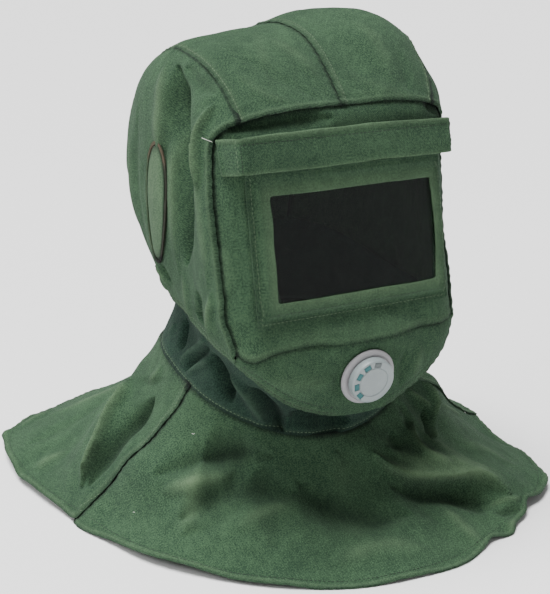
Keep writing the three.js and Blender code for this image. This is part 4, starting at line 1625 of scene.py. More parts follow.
@dataclass
class HeadBag(SewnPart):
    """The crowns, sides, front and chin of the bag, and the neck that hangs in it."""

    crown_right_folds: tuple[Fold, ...] = (
        Fold(((262, 38), (300, 58), (316, 80)), 9, 1.4),
        Fold(((240, 58), (285, 82), (318, 98)), 6, -1.3),
        Fold(((228, 68), (262, 93), (300, 104)), 5, 1.2),
        Fold(((205, 52), (222, 66), (236, 86)), 5, -1.4),
        Fold(((176, 45), (181, 55), (192, 62)), 4, 3.0, 0.3),
        Fold(((196, 60), (214, 76)), 4, -1.8),
        Fold(((283, 38), (296, 62), (300, 88)), 5, -0.8),
        Fold(((255, 30), (262, 55), (268, 80)), 7, 0.9),
    )
    crown_left_folds: tuple[Fold, ...] = (
        Fold(((322, 30), (350, 52), (360, 85)), 9, -1.0),
        Fold(((350, 18), (378, 45), (390, 80)), 9, 1.2),
        Fold(((398, 50), (404, 75), (410, 94)), 6, -1.4),
        Fold(((346, 72), (372, 84), (398, 88)), 6, 0.8),
        Fold(((340, 94), (370, 92), (415, 92)), 4, 0.9),
    )
    side_right_folds: tuple[Fold, ...] = (
        Fold(((178, 62), (181, 104), (184, 140), (187, 200), (187, 268)), 12, -19.0, 0.1, 0.3),
        Fold(((170, 60), (163, 90), (160, 125), (160, 160)), 9, 5.0),
        Fold(((186, 66), (200, 82), (217, 94)), 8, -5.0),
        Fold(((231, 87), (216, 103), (204, 121), (198, 145), (200, 190)), 5, 8.0, 0.4),
        Fold(((197, 140), (198, 190), (204, 240), (208, 290)), 7, 2.4),
        Fold(((198, 292), (199, 308), (200, 322), (203, 344)), 5.0, -18.0, 0.0, 0.12),
        Fold(((184, 270), (188, 296), (193, 322)), 5, 3.0),
        Fold(((212, 290), (211, 312), (214, 342)), 4.5, 4.5),
        Fold(((156, 262), (164, 275), (171, 288)), 3.5, 4.0, 0.3),
        Fold(((160, 262), (166, 273), (172, 284)), 2.8, -4.0),
        Fold(((143, 160), (141, 190), (147, 228)), 5, -1.4),
        Fold(((170, 140), (174, 190), (176, 240)), 6, 1.5),
    )
    front_folds: tuple[Fold, ...] = (
        Fold(((226, 131), (262, 126), (300, 121), (336, 117)), 7, -4.5),
        Fold(((206, 131), (216, 134), (224, 140)), 5, -3.5),
        Fold(((425, 105), (438, 112), (444, 122)), 4, -3.0),
        Fold(((232, 343), (228, 300), (224, 240)), 6, 1.4),
        Fold(((262, 342), (320, 334), (380, 325), (430, 318)), 7, 1.3),
        Fold(((240, 352), (252, 355), (275, 350)), 5, 1.5),
        Fold(((238, 200), (240, 250), (246, 300)), 5, -0.8),
    )
    chin_folds: tuple[Fold, ...] = (
        Fold(((262, 378), (300, 384), (336, 380)), 9, 1.8),
        Fold(((405, 350), (402, 368), (400, 388)), 4.5, -3.2),
        Fold(((420, 345), (417, 362), (411, 380)), 6, 2.2),
        Fold(((300, 372), (320, 376), (336, 372)), 5, -1.0),
        Fold(((338, 368), (336, 385), (340, 400)), 4, -1.2),
    )
    neck_folds: tuple[Fold, ...] = (
        Fold(((206, 338), (193, 350), (178, 366)), 3.2, 5.5, 0.4, 0.2),
        Fold(((209, 346), (197, 357), (184, 370)), 3.2, -7.0, 0.1, 0.2),
        Fold(((210, 360), (198, 366), (186, 374)), 2.8, 4.0, 0.3, 0.2),
        Fold(((186, 318), (184, 336), (180, 350)), 3.5, -6.0, 0.1, 0.2),
        Fold(((176, 322), (168, 335), (158, 350)), 4, 2.4),
        Fold(((211, 352), (222, 376), (232, 402)), 5.5, -12.0, 0.1, 0.2),
        Fold(((230, 374), (246, 394), (266, 424)), 5, 5.0, 0.2, 0.25),
        Fold(((246, 386), (264, 404), (284, 432)), 7, -12.0, 0.0, 0.2),
        Fold(((290, 412), (318, 422), (350, 420)), 9, -12.0, 0.0, 0.2),
    )
    back_drapes: tuple[Drape, ...] = (
        Drape(((172, -80), (165, -130), (170, -190)), 8, 2.5),
        Drape(((150, -60), (140, -120), (150, -185)), 9, -2.5),
        Drape(((-150, -70), (-142, -120), (-152, -190)), 9, 2.4),
        Drape(((-168, -100), (-172, -150), (-166, -195)), 7, -2.2),
        Drape(((112, -60), (106, -110), (112, -190)), 8, 2.4),
        Drape(((78, -60), (74, -130), (80, -210)), 7, -3.0),
        Drape(((62, -70), (60, -140), (62, -230)), 6, 2.6),
        Drape(((-118, -60), (-112, -120), (-120, -190)), 8, 1.8),
        Drape(((92, -215), (84, -205), (70, -225)), 5, 2.5),
    )

    def lay(self, nodes: dict[str, bpy.types.Object]) -> dict[str, Panel]:
        """Lays every panel flat on its solid.

        Args:
            nodes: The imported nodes.

        Returns:
            The panels by node.
        """
        for side in ("right", "left"):
            crown, wall = f"crown_{side}", f"side_panel_{side}"
            self.add(nodes, crown, wrinkle=2.0, held="draped", rests_on=(wall,))
            self.add(nodes, wall, wrinkle=2.0, rests_on=(crown,))
        self.add(nodes, "front_panel", wrinkle=1.4, rests_on=("crown_right", "crown_left"))
        self.add(nodes, "chin_panel", wrinkle=1.4, rests_on=("front_panel",))
        self.add(
            nodes,
            "neck",
            slot="neck_canvas",
            colours=self.wardrobe.neck,
            wrinkle=2.0,
            grain=(34.0, 34.0, 12.0),
            outward=Outward.ROUND,
            ring=True,
            held="gathered",
            rests_on=("cape_front", "cape_back"),
        )
        return self.panels

    def fold(self) -> None:
        """Lays the folds of each panel."""
        seen = {
            "crown_right": self.crown_right_folds,
            "crown_left": self.crown_left_folds,
            "side_panel_right": self.side_right_folds,
            "front_panel": self.front_folds,
            "chin_panel": self.chin_folds,
            "neck": self.neck_folds,
        }
        for name, folds in seen.items():
            self.panels[name].folds(folds, self.camera)
        for name in ("crown_right", "crown_left", "side_panel_left", "side_panel_right"):
            self.panels[name].drapes(self.back_drapes)


@dataclass
class Cape(SewnPart):
    """The wide shoulder cape, front and back."""

    front_folds: tuple[Fold, ...] = (
        Fold(((371, 452), (390, 466), (414, 475), (452, 474), (483, 481), (512, 495)), 7.0, 18.0, 0.5, 0.3),
        Fold(((388, 484), (418, 492), (452, 495), (478, 503), (508, 502)), 8.5, -8.0, 0.1, 0.3),
        Fold(((412, 421), (414, 437), (427, 455), (447, 463)), 4.5, 7.0, 0.5, 0.25),
        Fold(((390, 430), (396, 442), (404, 450)), 7, -4.0),
        Fold(((384, 446), (414, 463), (452, 464), (490, 472)), 10, 5.0),
        Fold(((405, 388), (418, 399), (431, 408)), 3.2, 6.0, 0.5, 0.2),
        Fold(((421, 380), (430, 394), (436, 408), (436, 440)), 3.2, 8.0, 0.5, 0.2),
        Fold(((424, 408), (429, 422), (431, 438)), 4, -9.0, 0.0, 0.2),
        Fold(((437, 406), (454, 411), (470, 418)), 4, 4.0, 0.4),
        Fold(((395, 400), (406, 412), (410, 430)), 5, -3.5),
        Fold(((440, 504), (460, 524), (484, 545)), 8, 3.0),
        Fold(((494, 512), (508, 512), (524, 508)), 4.5, -5.0, 0.2),
        Fold(((486, 505), (505, 500), (526, 500)), 4, 3.4, 0.3),
        Fold(((500, 525), (514, 520), (526, 516)), 4, 3.0),
        Fold(((296, 480), (330, 506), (372, 515), (414, 512)), 16, -9.0),
        Fold(((276, 456), (224, 453), (192, 461), (156, 480)), 10, -8.5),
        Fold(((108, 502), (162, 494), (204, 480), (236, 470)), 9, 4.0, 0.15),
        # A broad shallow dent, there mostly for its painted shade: the bag's shadow on the cape's front.
        Fold(((150, 448), (200, 454), (256, 464)), 24, -7.0),
        Fold(((178, 522), (220, 498), (256, 488), (300, 492)), 14, -9.0),
        Fold(((136, 444), (125, 470), (115, 494)), 6, -10.0, 0.1),
        Fold(((158, 430), (150, 450), (140, 474)), 7, 2.6),
        Fold(((236, 532), (262, 512), (300, 502)), 9, 2.4),
        Fold(((180, 540), (220, 520), (244, 500)), 8, -2.4),
        Fold(((330, 560), (380, 545), (430, 548)), 12, 2.2),
        Fold(((455, 440), (490, 452), (520, 470)), 9, 1.8),
        Fold(((470, 490), (480, 500), (484, 515)), 5, -2.5),
    )
    back_folds: tuple[Fold, ...] = (
        Fold(((133, 379), (124, 395), (112, 414), (99, 444), (90, 467), (86, 490)), 5.5, 13.0, 0.6, 0.2),
        Fold(((156, 398), (134, 430), (116, 458), (97, 492)), 13, -14.0),
        Fold(((70, 450), (50, 461), (34, 470)), 8, 2.8),
        Fold(((52, 411), (36, 419), (20, 428)), 6, 2.6),
        Fold(((110, 396), (84, 412), (52, 432), (26, 446)), 9, -2.6),
        Fold(((162, 366), (154, 376), (146, 382)), 5, 2.4),
        Fold(((165, 380), (150, 383), (137, 380)), 4, -2.6),
    )
    drapes: tuple[Drape, ...] = (
        Drape(((176, -300), (178, -340), (174, -392)), 12, 4.0),
        Drape(((150, -300), (148, -345), (152, -392)), 13, -4.0),
        Drape(((125, -300), (122, -340), (126, -390)), 11, 3.6),
        Drape(((104, -300), (100, -345), (106, -390)), 10, -3.0),
        Drape(((-160, -300), (-164, -345), (-160, -392)), 12, -3.6),
        Drape(((-142, -310), (-140, -345), (-136, -390)), 11, 3.0),
    )

    def lay(self, nodes: dict[str, bpy.types.Object]) -> dict[str, Panel]:
        """Lays the two halves flat on their solids.

        Args:
            nodes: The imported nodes.

        Returns:
            The panels by node.
        """
        for name in ("cape_front", "cape_back"):
            self.add(
                nodes,
                name,
                wrinkle=3.2,
                grain=(17.0, 17.0, 17.0),
                outward=Outward.ABOVE,
                held="draped",
                rests_on=("neck",),
            )
        return self.panels

    def fold(self) -> None:
        """Lays the folds of both halves."""
        self.panels["cape_front"].folds(self.front_folds, self.camera)
        self.panels["cape_back"].folds(self.back_folds, self.camera)
        for panel in self.panels.values():
            panel.drapes(self.drapes)


WINDOW_PULLS = (
    Pull((271, 198), 22, (-3.5, 0)),
    Pull((281, 302), 22, (-3.5, 0)),
    Pull((276, 250), 20, (-3.4, 0)),
    Pull((430, 178), 18, (-2.0, 0)),
    Pull((437, 276), 18, (-2.0, 0)),
)
OPENING_PULLS = (
    Pull((271, 198), 22, (-3.0, -1.5)),
    Pull((281, 302), 22, (-3.0, 2.0)),
    Pull((430, 178), 18, (3.0, -1.5)),
    Pull((437, 276), 18, (3.0, 2.0)),
)
PULLS = (
    *WINDOW_PULLS,
    Pull((229, 322), 12, (-3.5, 0)),
    Pull((237, 352), 11, (-11.0, 4.0)),
    Pull((252, 356), 13, (0, 8.0)),
    Pull((290, 357), 16, (0, 4.0)),
    Pull((300, 10), 40, (0, 5.5)),
    Pull((262, 18), 22, (0, 2.0)),
    Pull((372, 12), 26, (1.0, -2.5)),
    Pull((442, 96), 14, (2.5, 0)),
    Pull((424, 58), 18, (-3.5, 1.0)),
    Pull((181, 46), 16, (0, -2.5)),
    Pull((127, 130), 40, (2.5, 0)),
    Pull((138, 205), 40, (5.5, 0)),
    Pull((150, 262), 16, (2.0, 0)),
    Pull((442, 180), 30, (1.5, 0)),
    Pull((453, 300), 24, (-2.5, 0)),
    Pull((430, 378), 20, (7.0, -7.0)),
    Pull((480, 420), 34, (-5.0, 7.0)),
    Pull((500, 434), 20, (-2.0, 4.0)),
    Pull((545, 478), 20, (5.0, -2.0)),
    Pull((534, 503), 12, (-7.0, -5.0)),
    Pull((510, 535), 13, (7.0, 5.0)),
    Pull((500, 545), 10, (-3.0, -3.0)),
    Pull((462, 566), 27, (4.0, 8.0)),
    Pull((350, 588), 36, (0, 5.0)),
    Pull((190, 566), 30, (0, -3.5)),
    Pull((88, 524), 26, (-4.0, 5.0)),
    Pull((5, 432), 12, (-5.0, 0)),
    Pull((18, 474), 16, (-2.0, 3.0)),
    Pull((172, 300), 18, (3.0, 2.0)),
    Pull((142, 366), 14, (-3.0, -2.0)),
    Pull((28, 418), 14, (0, -2.0)),
    Pull((138, 466), 34, (-13.0, -11.0)),
    Pull((104, 500), 22, (-8.0, -3.0)),
    Pull((168, 428), 22, (-4.0, -3.0)),
)
SEAMS = (
    Seam("crown_left", "crown_right", lap=1.2, dip=0.5, width=4.5, rows=(5.0,), thread=Thread.PALE),
    Seam("crown_right", "front_panel", lap=1.4, dip=1.2, width=4.5, rows=(), pucker=0.3),
    Seam("crown_left", "front_panel", lap=1.2, dip=1.0, width=4.5, rows=(), pucker=0.3),
    Seam("crown_right", "side_panel_right", lap=0.3, dip=0.6, width=3.5, rows=(3.0,), thread=Thread.PALE),
    Seam("crown_left", "side_panel_left", lap=0.3, dip=0.6, width=3.5, rows=(3.0,), thread=Thread.PALE),
    Seam(
        "side_panel_right",
        "front_panel",
        lap=3.2,
        dip=1.6,
        width=7.5,
        roll=2.6,
        rows=(),
        pucker=0.5,
        tuck=3.5,
    ),
    Seam("side_panel_left", "front_panel", lap=1.8, dip=1.2, width=7.0, roll=1.8, rows=(), pucker=0.4),
    Seam("front_panel", "chin_panel", lap=1.6, dip=0.8, width=4.5, rows=(), pucker=0.3),
    Seam("side_panel_right", "chin_panel", lap=1.0, dip=0.8, width=4.0, rows=(), pucker=0.3),
    Seam("side_panel_left", "chin_panel", lap=1.0, dip=0.8, width=4.0, rows=(), pucker=0.3),
    Seam("cape_back", "cape_front", lap=1.8, dip=0.6, width=4.5, rows=(3.0, 8.0), thread=Thread.PALE),
    *(
        Seam("neck", cape, lap=0.2, dip=0.3, width=3.0, roll=0.5, rows=(2.4,), thread=Thread.PALE, reach=3.0)
        for cape in ("cape_front", "cape_back")
    ),
)
HEMS = (
    Hem("cape_front", (6.0,), bead=0.8, width=5.0),
    Hem("cape_back", (6.0,), bead=0.8, width=5.0),
    Hem("chin_panel", (3.0, 8.5), clear_of=(0.0, -0.143, -0.2618)),
    *(
        Hem(panel, (2.4, 7.5), Thread.PALE)
        for panel in ("side_panel_right", "side_panel_left", "crown_right", "crown_left")
    ),
)


# Window


def window_seat() -> Matrix:
    """The window's place: X to the wearer's left, Y up the glass and Z out of it.

    Returns:
        The place as a 4 by 4 matrix.
    """
    out = Vector((0, -math.cos(WINDOW_LEAN), math.sin(WINDOW_LEAN)))
    across = Vector((1, 0, 0))
    turn = Matrix((across, out.cross(across), out)).transposed()
    return Matrix.Translation(WINDOW_MIDDLE) @ turn.to_4x4()


@dataclass
class Window:
    """The glass, its cloth pocket and the flap over the pocket's mouth.

    Args:
        wardrobe: The finishes.
        camera: The camera that sees the pulls.
        needle: What sews the rows.
        glass_thick: The glass's thickness.
        glass_lap: How far the glass goes behind the pocket, all round.
        lay_gap: How far the glass lies from the window's plane.
        bevel: The width of its ground edge.
        before: How far in front of the window the rows are planned, in millimetres.
        opening: The opening's half width and half height, in millimetres.
        pocket_sides: Where the pocket ends, to the wearer's right and left, in millimetres.
        pocket_ends: Where it ends below and above, in millimetres.
        pocket_stitches: Its outer row's distances from its sides, its top and its bottom.
        pocket_second: Its second row's distances from its sides and its bottom.
        pucker: The height and the length of the waves along the pocket's edge.
        edge_reach: How far from an edge it is puckered and worn.
        flap_bow: How far the flap's top rises and its lower edge stands off in the middle, in millimetres.
        flap_ripple: The height and the length of the waves along the flap's top, in millimetres.
        groove: The depth of the flap's groove in metres, and its half width in millimetres.
        flap_stitches: The flap's row's distances from its right, its left, its top and its bottom.
    """

    wardrobe: Wardrobe
    camera: StudioCamera
    needle: Needle
    glass_thick: float = 3.0 * MM
    glass_lap: float = 7.0 * MM
    lay_gap: float = 0.4 * MM
    bevel: float = 0.6 * MM
    before: float = 7.0
    opening: tuple[float, float] = (70.0, 40.5)
    pocket_sides: tuple[float, float] = (-89.0, 80.0)
    pocket_ends: tuple[float, float] = (-58.0, 58.0)
    pocket_stitches: tuple[float, float, float] = (3.0, 2.0, 3.0)
    pocket_second: tuple[float, float] = (7.0, 8.0)
    pucker: tuple[float, float] = (0.35 * MM, 11 * MM)
    edge_reach: float = 8 * MM
    flap_bow: tuple[float, float] = (1.6, 1.2)
    flap_ripple: tuple[float, float] = (0.4, 19.0)
    groove: tuple[float, float] = (0.7 * MM, 1.6)
    flap_stitches: tuple[float, float, float, float] = (9.0, 8.0, 5.0, 1.5)

    def build(self, nodes: dict[str, bpy.types.Object]) -> None:
        """Builds the three pieces and their stitches.

        Args:
            nodes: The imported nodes.
        """
        self.build_glass()
        self.build_pocket(nodes)
        self.build_flap(nodes)

    def build_glass(self) -> None:
        """A sheet of glass with ground edges."""
        bpy.ops.mesh.primitive_cube_add(size=1.0)
        glass = new_piece("window_pane")
        with editing(glass):
            size = (WINDOW_WIDE + 2 * self.glass_lap, WINDOW_HIGH + 2 * self.glass_lap, self.glass_thick)
            bpy.ops.transform.resize(value=size)
        modify(glass, "BEVEL", width=self.bevel, segments=2, limit_method="ANGLE")
        out = Matrix.Translation((0, 0, self.lay_gap + self.glass_thick / 2))
        settle(glass, window_seat() @ out)
        glass.data.materials.append(self.wardrobe.glass)
        enter(glass, "window_glass")

    def way(self, local: Place) -> Vector:
        """A way in the window's own directions, in the shared frame."""
        return window_seat().to_3x3() @ Vector(local)

    def row(self, points: Sequence[tuple[float, float]]) -> np.ndarray:
        """A path in front of the window from places on it in millimetres."""
        seat = window_seat()
        return np.array([seat @ Vector((x * MM, y * MM, self.before * MM)) for x, y in points])

    def build_pocket(self, nodes: dict[str, bpy.types.Object]) -> None:
        """The cloth frame round the opening, sewn down with double rows.

        Args:
            nodes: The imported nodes.
        """
        pocket = Patch(
            "window_pocket",
            "canvas",
            self.wardrobe.canvas,
            grain=(40.0, 40.0, 40.0),
            cuts=3,
            flat=(0.169, 0.116),
            rests_on=("front_panel",),
        )
        pocket.lay(nodes)
        draw_aside([pocket], WINDOW_PULLS, self.camera)

        x, y = self.opening
        rim, _ = along_path(pocket.points, self.row(((-x, -y), (x, -y), (x, y), (-x, y), (-x, -y))))
        pocket.wear += 0.48 * np.exp(-((rim / self.edge_reach) ** 2))

        (left, right), (low, high) = self.pocket_sides, self.pocket_ends
        outer = self.row(((left, high), (left, low), (right, low), (right, high), (left, high)))
        edge, place = along_path(pocket.points, outer)
        height, length = self.pucker
        waves = height * np.sin(place * 2 * math.pi / length)
        pocket.lift += waves * np.exp(-((edge / self.edge_reach) ** 2))
        # Painted shade along the pocket's sewn outer edge.
        pocket.dark += 0.25 * np.exp(-((edge / (7.2 * MM)) ** 2))

        in_side, in_top, in_low = self.pocket_stitches
        first = self.row((
            (left + in_side, high - in_top),
            (left + in_side, low + in_low),
            (right - in_side, low + in_low),
            (right - in_side, high - in_top),
        ))
        in_side, in_low = self.pocket_second
        second = self.row(((left + in_side, low + in_low), (right - in_side, low + in_low)))
        for path in (first, second):
            away, _ = along_path(pocket.points, path)
            pocket.lift -= 0.5 * MM * np.exp(-(((away - 4 * MM) / (2 * MM)) ** 2))
        pocket.complete()
        out = self.way((0, 0, 1))
        self.needle.sew("stitches_pocket_outer_1", pocket, first, Thread.PALE, out)
        self.needle.sew("stitches_pocket_outer_2", pocket, second, Thread.DARK, out)

    def build_flap(self, nodes: dict[str, bpy.types.Object]) -> None:
        """The doubled strip over the pocket's mouth, sewn along its top and down its ends.

        Args:
            nodes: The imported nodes.
        """
        flap = Patch(
            "brow_flap",
            "canvas",
            self.wardrobe.canvas,
            wrinkle=1.1,
            grain=(22.0, 22.0, 34.0),
            flat=(0.226, 0.031),
            rests_on=("front_panel",),
        )
        flap.lay(nodes)
        inverse = window_seat().inverted()
        across, up, _ = (np.array([inverse @ Vector(p) for p in flap.points]) / MM).T
        left, right = across.min(), across.max()
        low, high = up.min(), up.max()
        top = (up - low) / (high - low)

        # the top edge bows up in the middle, and the lower edge stands off the panel
        bow = np.clip(1 - (across / right) ** 2, 0, 1)
        raised, stood = self.flap_bow
        ripple, length = self.flap_ripple
        rise = bow * (raised * top + ripple * np.sin(across / length)) * MM
        stand = bow * (stood - raised * top) * MM
        flap.points += np.outer(rise, self.way((0, 1, 0)))
        flap.points += np.outer(stand, self.way((0, 0, 1)))

        in_right, in_left, in_top, in_low = self.flap_stitches
        ends = (left + in_right, right - in_left)
        ridge = (top - 0.5) * 2
        depth, width = self.groove
        flap.lift -= depth * np.exp(-(((high - in_top - up) / width) ** 2))
        flap.lift += 0.5 * MM * np.exp(-((ridge + 0.35) ** 2) * 6)
        for end in ends:
            flap.lift -= depth * np.exp(-(((across - end) / width) ** 2))
        flap.wear += 0.5 * np.exp(-(((up - high) / 3.0) ** 2))
        flap.wear += 0.4 * np.exp(-(((up - low) / 2.0) ** 2))
        flap.complete()

        first = self.row((
            (ends[0], low + in_low),
            (ends[0], high - in_top),
            (ends[1], high - in_top),
            (ends[1], low + in_low),
        ))
        second = self.row(((left + 4, low + in_low), (left + 4, high - 2)))
        out = self.way((0, 0, 1))
        self.needle.sew("stitches_flap", flap, first, Thread.DARK, out)
        self.needle.sew("stitches_flap_end", flap, second, Thread.PALE, out)


# Ear patches


@dataclass
class Ear:
    """The oval patch and its binding on one side of the bag.

    Args:
        wardrobe: The finishes.
        side: Which side.
        half_width: The patch's, from front to back.
        half_height: The patch's.
        binding_half_height: The binding's.
        puffed: How far the patch's middle stands out.
    """

    wardrobe: Wardrobe
    side: str
    half_width: float = 15.5 * MM
    half_height: float = 48 * MM
    binding_half_height: float = 52 * MM
    puffed: float = 1.4 * MM

    def build(self, nodes: dict[str, bpy.types.Object]) -> None:
        """Builds the patch and the ring round it.

        Args:
            nodes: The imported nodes.
        """
        patch = Patch(
            f"ear_patch_{self.side}",
            "patch_cloth",
            self.wardrobe.patch,
            wrinkle=0.8,
            grain=(60.0, 60.0, 40.0),
            cuts=3,
            flat=(0.031, 0.093),
            rests_on=(f"side_panel_{self.side}",),
        )
        patch.lay(nodes)
        centre = (patch.points.min(0) + patch.points.max(0)) / 2
        _, back, up = (patch.points - centre).T
        away = np.hypot(back / self.half_width, up / self.half_height)
        patch.lift += self.puffed * np.clip(1 - away**2, 0, 1)
        # Painted shade round the oval's rim, next to the binding.
        patch.dark += 0.8 * ease((away - 0.82) / 0.2)
        patch.complete()

        binding = Patch(
            f"ear_binding_{self.side}",
            "binding",
            self.wardrobe.binding,
            wrinkle=0.8,
            grain=(90.0, 90.0, 90.0),
            cuts=3,
            flat=(0.011, 0.2),
            rests_on=(f"side_panel_{self.side}",),
        )
        binding.lay(nodes)
        binding.lift -= 0.7 * MM
        _, back, up = (binding.points - centre).T
        up = up / self.binding_half_height
        front = ease(-back / (10 * MM))
        binding.wear += 1.2 * ease((up - 0.55) / 0.3) + 0.5 * front
        # Painted shade at the binding's lower end and along its front edge.
        binding.dark += 0.9 * ease((-0.75 - up) / 0.2) + 0.75 * front * ease((0.75 - up) / 0.2)
        binding.complete()


# Valve


@dataclass
class Valve:
    """The flanged valve body, its cap and the cap's marks, in millimetres and degrees.

    Args:
        wardrobe: The finishes.
        radius: The front ring's radius.
        cap_radius: The cap's radius.
        mark_radius: How far the marks are from the axis.
        mark_size: A mark's length, width and depth.
        mark_turns: The marks' turns from the top, towards the wearer's right.
        mark_gap: The gap round a mark in its hole.
        mark_hole: The hole's depth.
        smooth: The angle above which an edge stays sharp.
        steps: How many sides a ring has.
    """

    wardrobe: Wardrobe
    radius: float = 23.8
    cap_radius: float = 18.8
    mark_radius: float = 15.0
    mark_size: tuple[float, float, float] = (5.6, 4.0, 0.65)
    mark_turns: tuple[float, ...] = (-8.0, 27.0, 62.0, 97.0, 132.0)
    mark_gap: float = 0.25
    mark_hole: float = 0.9
    smooth: float = 35.0
    steps: int = 96

    def seat(self) -> Matrix:
        """The valve's place: Z along its axis from the cloth, Y up and X to the wearer's left."""
        across = Vector((1, 0, 0))
        turn = Matrix((across, VALVE_AXIS.cross(across), VALVE_AXIS)).transposed()
        return Matrix.Translation(VALVE_FACE - VALVE_AXIS * VALVE_REACH) @ turn.to_4x4()

    def turned(self, name: str, rings: Sequence[tuple[float, float]]) -> bpy.types.Object:
        """Turns a piece on its axis by extruding a disc from ring to ring.

        Args:
            name: The piece's name.
            rings: The radius and height of each ring in millimetres, from the back to the front.

        Returns:
            The piece, about its own origin.
        """
        (radius, height), *others = rings
        bpy.ops.mesh.primitive_circle_add(
            vertices=self.steps, radius=radius * MM, fill_type="NGON", location=(0, 0, height * MM)
        )
        piece = new_piece(name)
        with editing(piece):
            for wide, high in others:
                rise = (0, 0, (high - height) * MM)
                bpy.ops.mesh.extrude_region_move(TRANSFORM_OT_translate={"value": rise})
                share = wide / radius
                bpy.ops.transform.resize(value=(share, share, 1))
                radius, height = wide, high
            bpy.ops.mesh.select_all(action="SELECT")
            bpy.ops.mesh.normals_make_consistent(inside=False)
        return piece

    def dress(self, piece: bpy.types.Object, node: str, slot: str, material: bpy.types.Material) -> None:
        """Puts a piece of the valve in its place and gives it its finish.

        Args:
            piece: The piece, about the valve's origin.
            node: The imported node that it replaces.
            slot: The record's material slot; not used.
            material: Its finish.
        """
        settle(piece, self.seat())
        piece.data.materials.clear()
        piece.data.materials.append(material)
        alone(piece)
        bpy.ops.object.shade_smooth_by_angle(angle=math.radians(self.smooth))
        enter(piece, node)

    def mark(self, name: str, turn: float, grow: float, low: float, high: float) -> bpy.types.Object:
        """One raised block of the ring of marks.

        Args:
            name: The piece's name.
            turn: Its turn from the top in degrees, towards the wearer's right.
            grow: How much wider than the mark it is, all round, in millimetres.
            low: Its back's height in millimetres.
            high: Its front's height in millimetres.

        Returns:
            The block, about the valve's origin.
        """
        long, wide, _ = self.mark_size
        bpy.ops.mesh.primitive_cube_add(size=1.0)
        block = new_piece(name)
        spin = Matrix.Rotation(math.radians(turn), 4, "Z")
        place = Matrix.Translation((0, self.mark_radius * MM, (low + high) / 2 * MM))
        scale = Matrix.Diagonal(((long + 2 * grow) * MM, (wide + 2 * grow) * MM, (high - low) * MM, 1))
        settle(block, spin @ place @ scale)
        return block

    def build(self) -> None:
        """Builds the body, the cap and the marks."""
        rim, lid, top = self.radius, self.cap_radius, VALVE_REACH / MM
        hidden_flange = (
            (8, -6.0),
            (rim - 2.2, -6.0),
            (rim - 1.7, -5.6),
            (rim - 1.7, -3.0),
            (rim - 2.1, -2.6),
        )
        waist = ((16, -2.6), (16, 0.4))
        ring = (
            (rim - 0.6, 0.4),
            (rim, 0.9),
            (rim, 1.9),
            (rim - 0.35, 2.7),
            (rim - 1.1, 3.25),
            (rim - 2.3, 3.6),
        )
        groove = ((lid + 1.5, 3.75), (lid + 1.1, 3.4), (lid + 0.6, 3.4), (lid - 2, 3.4))
        body = self.turned("valve_body_moulding", (*hidden_flange, *waist, *ring, *groove))
        self.dress(body, "valve_body", "rim_plastic", self.wardrobe.rim)

        shoulder = ((10, 4.2), (lid, 4.2), (lid, 9.9), (lid - 0.3, 10.6), (lid - 0.9, 11.0), (lid - 1.7, top))
        face = (
            (lid - 5.9, top),
            (lid - 6.2, top - 0.35),
            (lid - 6.6, top - 0.35),
            (lid - 6.9, top),
            (lid - 9.5, top),
        )
        cap = self.turned("valve_cap_moulding", (*shoulder, *face))
        for i, turn in enumerate(self.mark_turns):
            low, high = top - self.mark_hole, top + self.mark_hole
            hole = self.mark(f"mark_hole_{i + 1}", turn, self.mark_gap, low, high)
            modify(cap, "BOOLEAN", operation="DIFFERENCE", object=hole, solver="EXACT")
            bpy.data.objects.remove(hole)
        self.dress(cap, "valve_cap", "cap_plastic", self.wardrobe.cap)
        for i, turn in enumerate(self.mark_turns):
            block = self.mark(f"valve_mark_block_{i + 1}", turn, 0.0, top - self.mark_size[2], top)
            modify(block, "BEVEL", width=0.25 * MM, segments=3, limit_method="ANGLE")
            slot, material = ("teal_mark", self.wardrobe.teal) if i else ("grey_mark", self.wardrobe.grey)
            self.dress(block, f"valve_mark_{i + 1}", slot, material)


# Loose threads


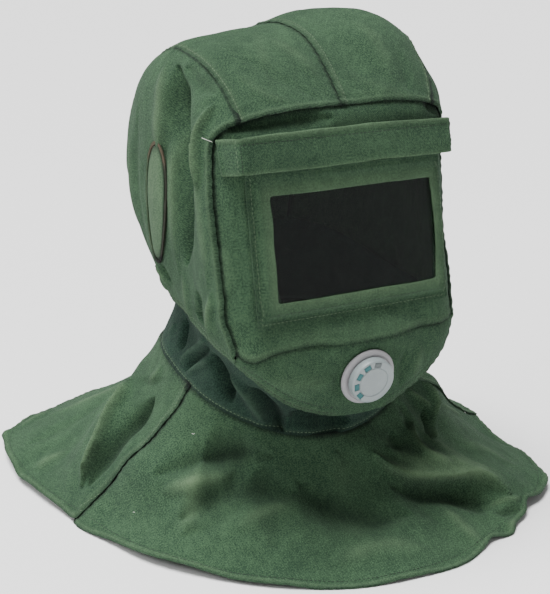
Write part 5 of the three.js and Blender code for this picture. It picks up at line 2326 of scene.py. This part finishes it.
@dataclass
class LooseThreads:
    """A few frayed ends that stand off the cloth.

    Args:
        wardrobe: The finishes.
        camera: The camera that sees them.
        radius: A thread's radius.
        ends: Each one's path, as the camera sees it, and how far it stands off in millimetres.
    """

    wardrobe: Wardrobe
    camera: StudioCamera
    radius: float = 0.16 * MM
    ends: tuple[tuple[tuple[Pixel, ...], float], ...] = (
        (((203, 138), (207, 139.5), (211, 141.5), (213.5, 144)), 2.5),
        (((192.2, 433.4), (193.6, 434.2), (195, 433.4)), 0.7),
        (((133.4, 512.6), (134.4, 512.2), (135.2, 512.8)), 0.7),
        (((115.4, 543.3), (116.4, 542.8), (117.4, 543.2)), 0.7),
    )

    def build(self, panels: dict[str, Cloth]) -> None:
        """Adds each thread where the camera sees it.

        Args:
            panels: The panels that they can lie on.
        """
        for i, (pixels, stand) in enumerate(self.ends):
            places = [place for p in pixels for place in self.seen(panels, p, stand * MM)]
            if len(places) > 1:
                self.lay(f"loose_thread_{i + 1}", smooth_path(places, 4))

    def seen(self, panels: dict[str, Cloth], pixel: Pixel, stand: float) -> list[Vector]:
        """The place of a thread that the camera sees at a pixel.

        Args:
            panels: The panels that it can lie on.
            pixel: The pixel.
            stand: How far it stands off the cloth.

        Returns:
            The place, or nothing where the camera sees no cloth.
        """
        eye = Vector(self.camera.place)
        hits = [panel.tree.ray_cast(eye, self.camera.ray(pixel)) for panel in panels.values()]
        found = sorted((h for h in hits if h[0] is not None), key=lambda hit: hit[3])
        return [hit[0] + hit[1] * stand for hit in found[:1]]

    def lay(self, name: str, path: np.ndarray) -> None:
        """Lays one thread along a path.

        Args:
            name: Its name.
            path: The path, as rows.
        """
        curve = bpy.data.curves.new(name, "CURVE")
        curve.dimensions = "3D"
        curve.bevel_depth = self.radius
        curve.bevel_resolution = 1
        spline = curve.splines.new("POLY")
        spline.points.add(len(path) - 1)
        for point, place in zip(spline.points, path):
            point.co = (*place, 1)
        thread = bpy.data.objects.new(name, curve)
        bpy.context.scene.collection.objects.link(thread)
        alone(thread)
        bpy.ops.object.convert(target="MESH")
        thread = bpy.context.object
        thread.data.materials.append(self.wardrobe.white_thread)
        enter(thread)


def corners(box: tuple[Vector, Vector]) -> list[list[float]]:
    """A box's two corners as plain lists."""
    return [list(corner) for corner in box]


def main() -> None:
    """Builds the whole dressed hood."""
    logging.basicConfig(level=logging.INFO, format="%(message)s")
    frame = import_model()
    nodes = frame["nodes"]
    studio = Studio()
    studio.build()
    wardrobe = Wardrobe()
    needle = Needle(wardrobe)
    needle.model()

    bag = HeadBag(wardrobe, studio.camera)
    cape = Cape(wardrobe, studio.camera)
    panels = {**bag.lay(nodes), **cape.lay(nodes)}
    sewing = Sewing(panels, needle)
    for seam in SEAMS:
        sewing.seam(seam)
    for hem in HEMS:
        sewing.hem(hem)
    bag.fold()
    cape.fold()
    draw_aside(list(panels.values()), PULLS, studio.camera)
    draw_aside([panels["front_panel"]], OPENING_PULLS, studio.camera)
    for panel in panels.values():
        panel.crumple()
        panel.shape()
    sewing.sew_all()
    for panel in panels.values():
        panel.thicken()

    Window(wardrobe, studio.camera, needle).build(nodes)
    for side in ("right", "left"):
        Ear(wardrobe, side).build(nodes)
    Valve(wardrobe).build()
    LooseThreads(wardrobe, studio.camera).build(panels)


if __name__ == "__main__":
    main()
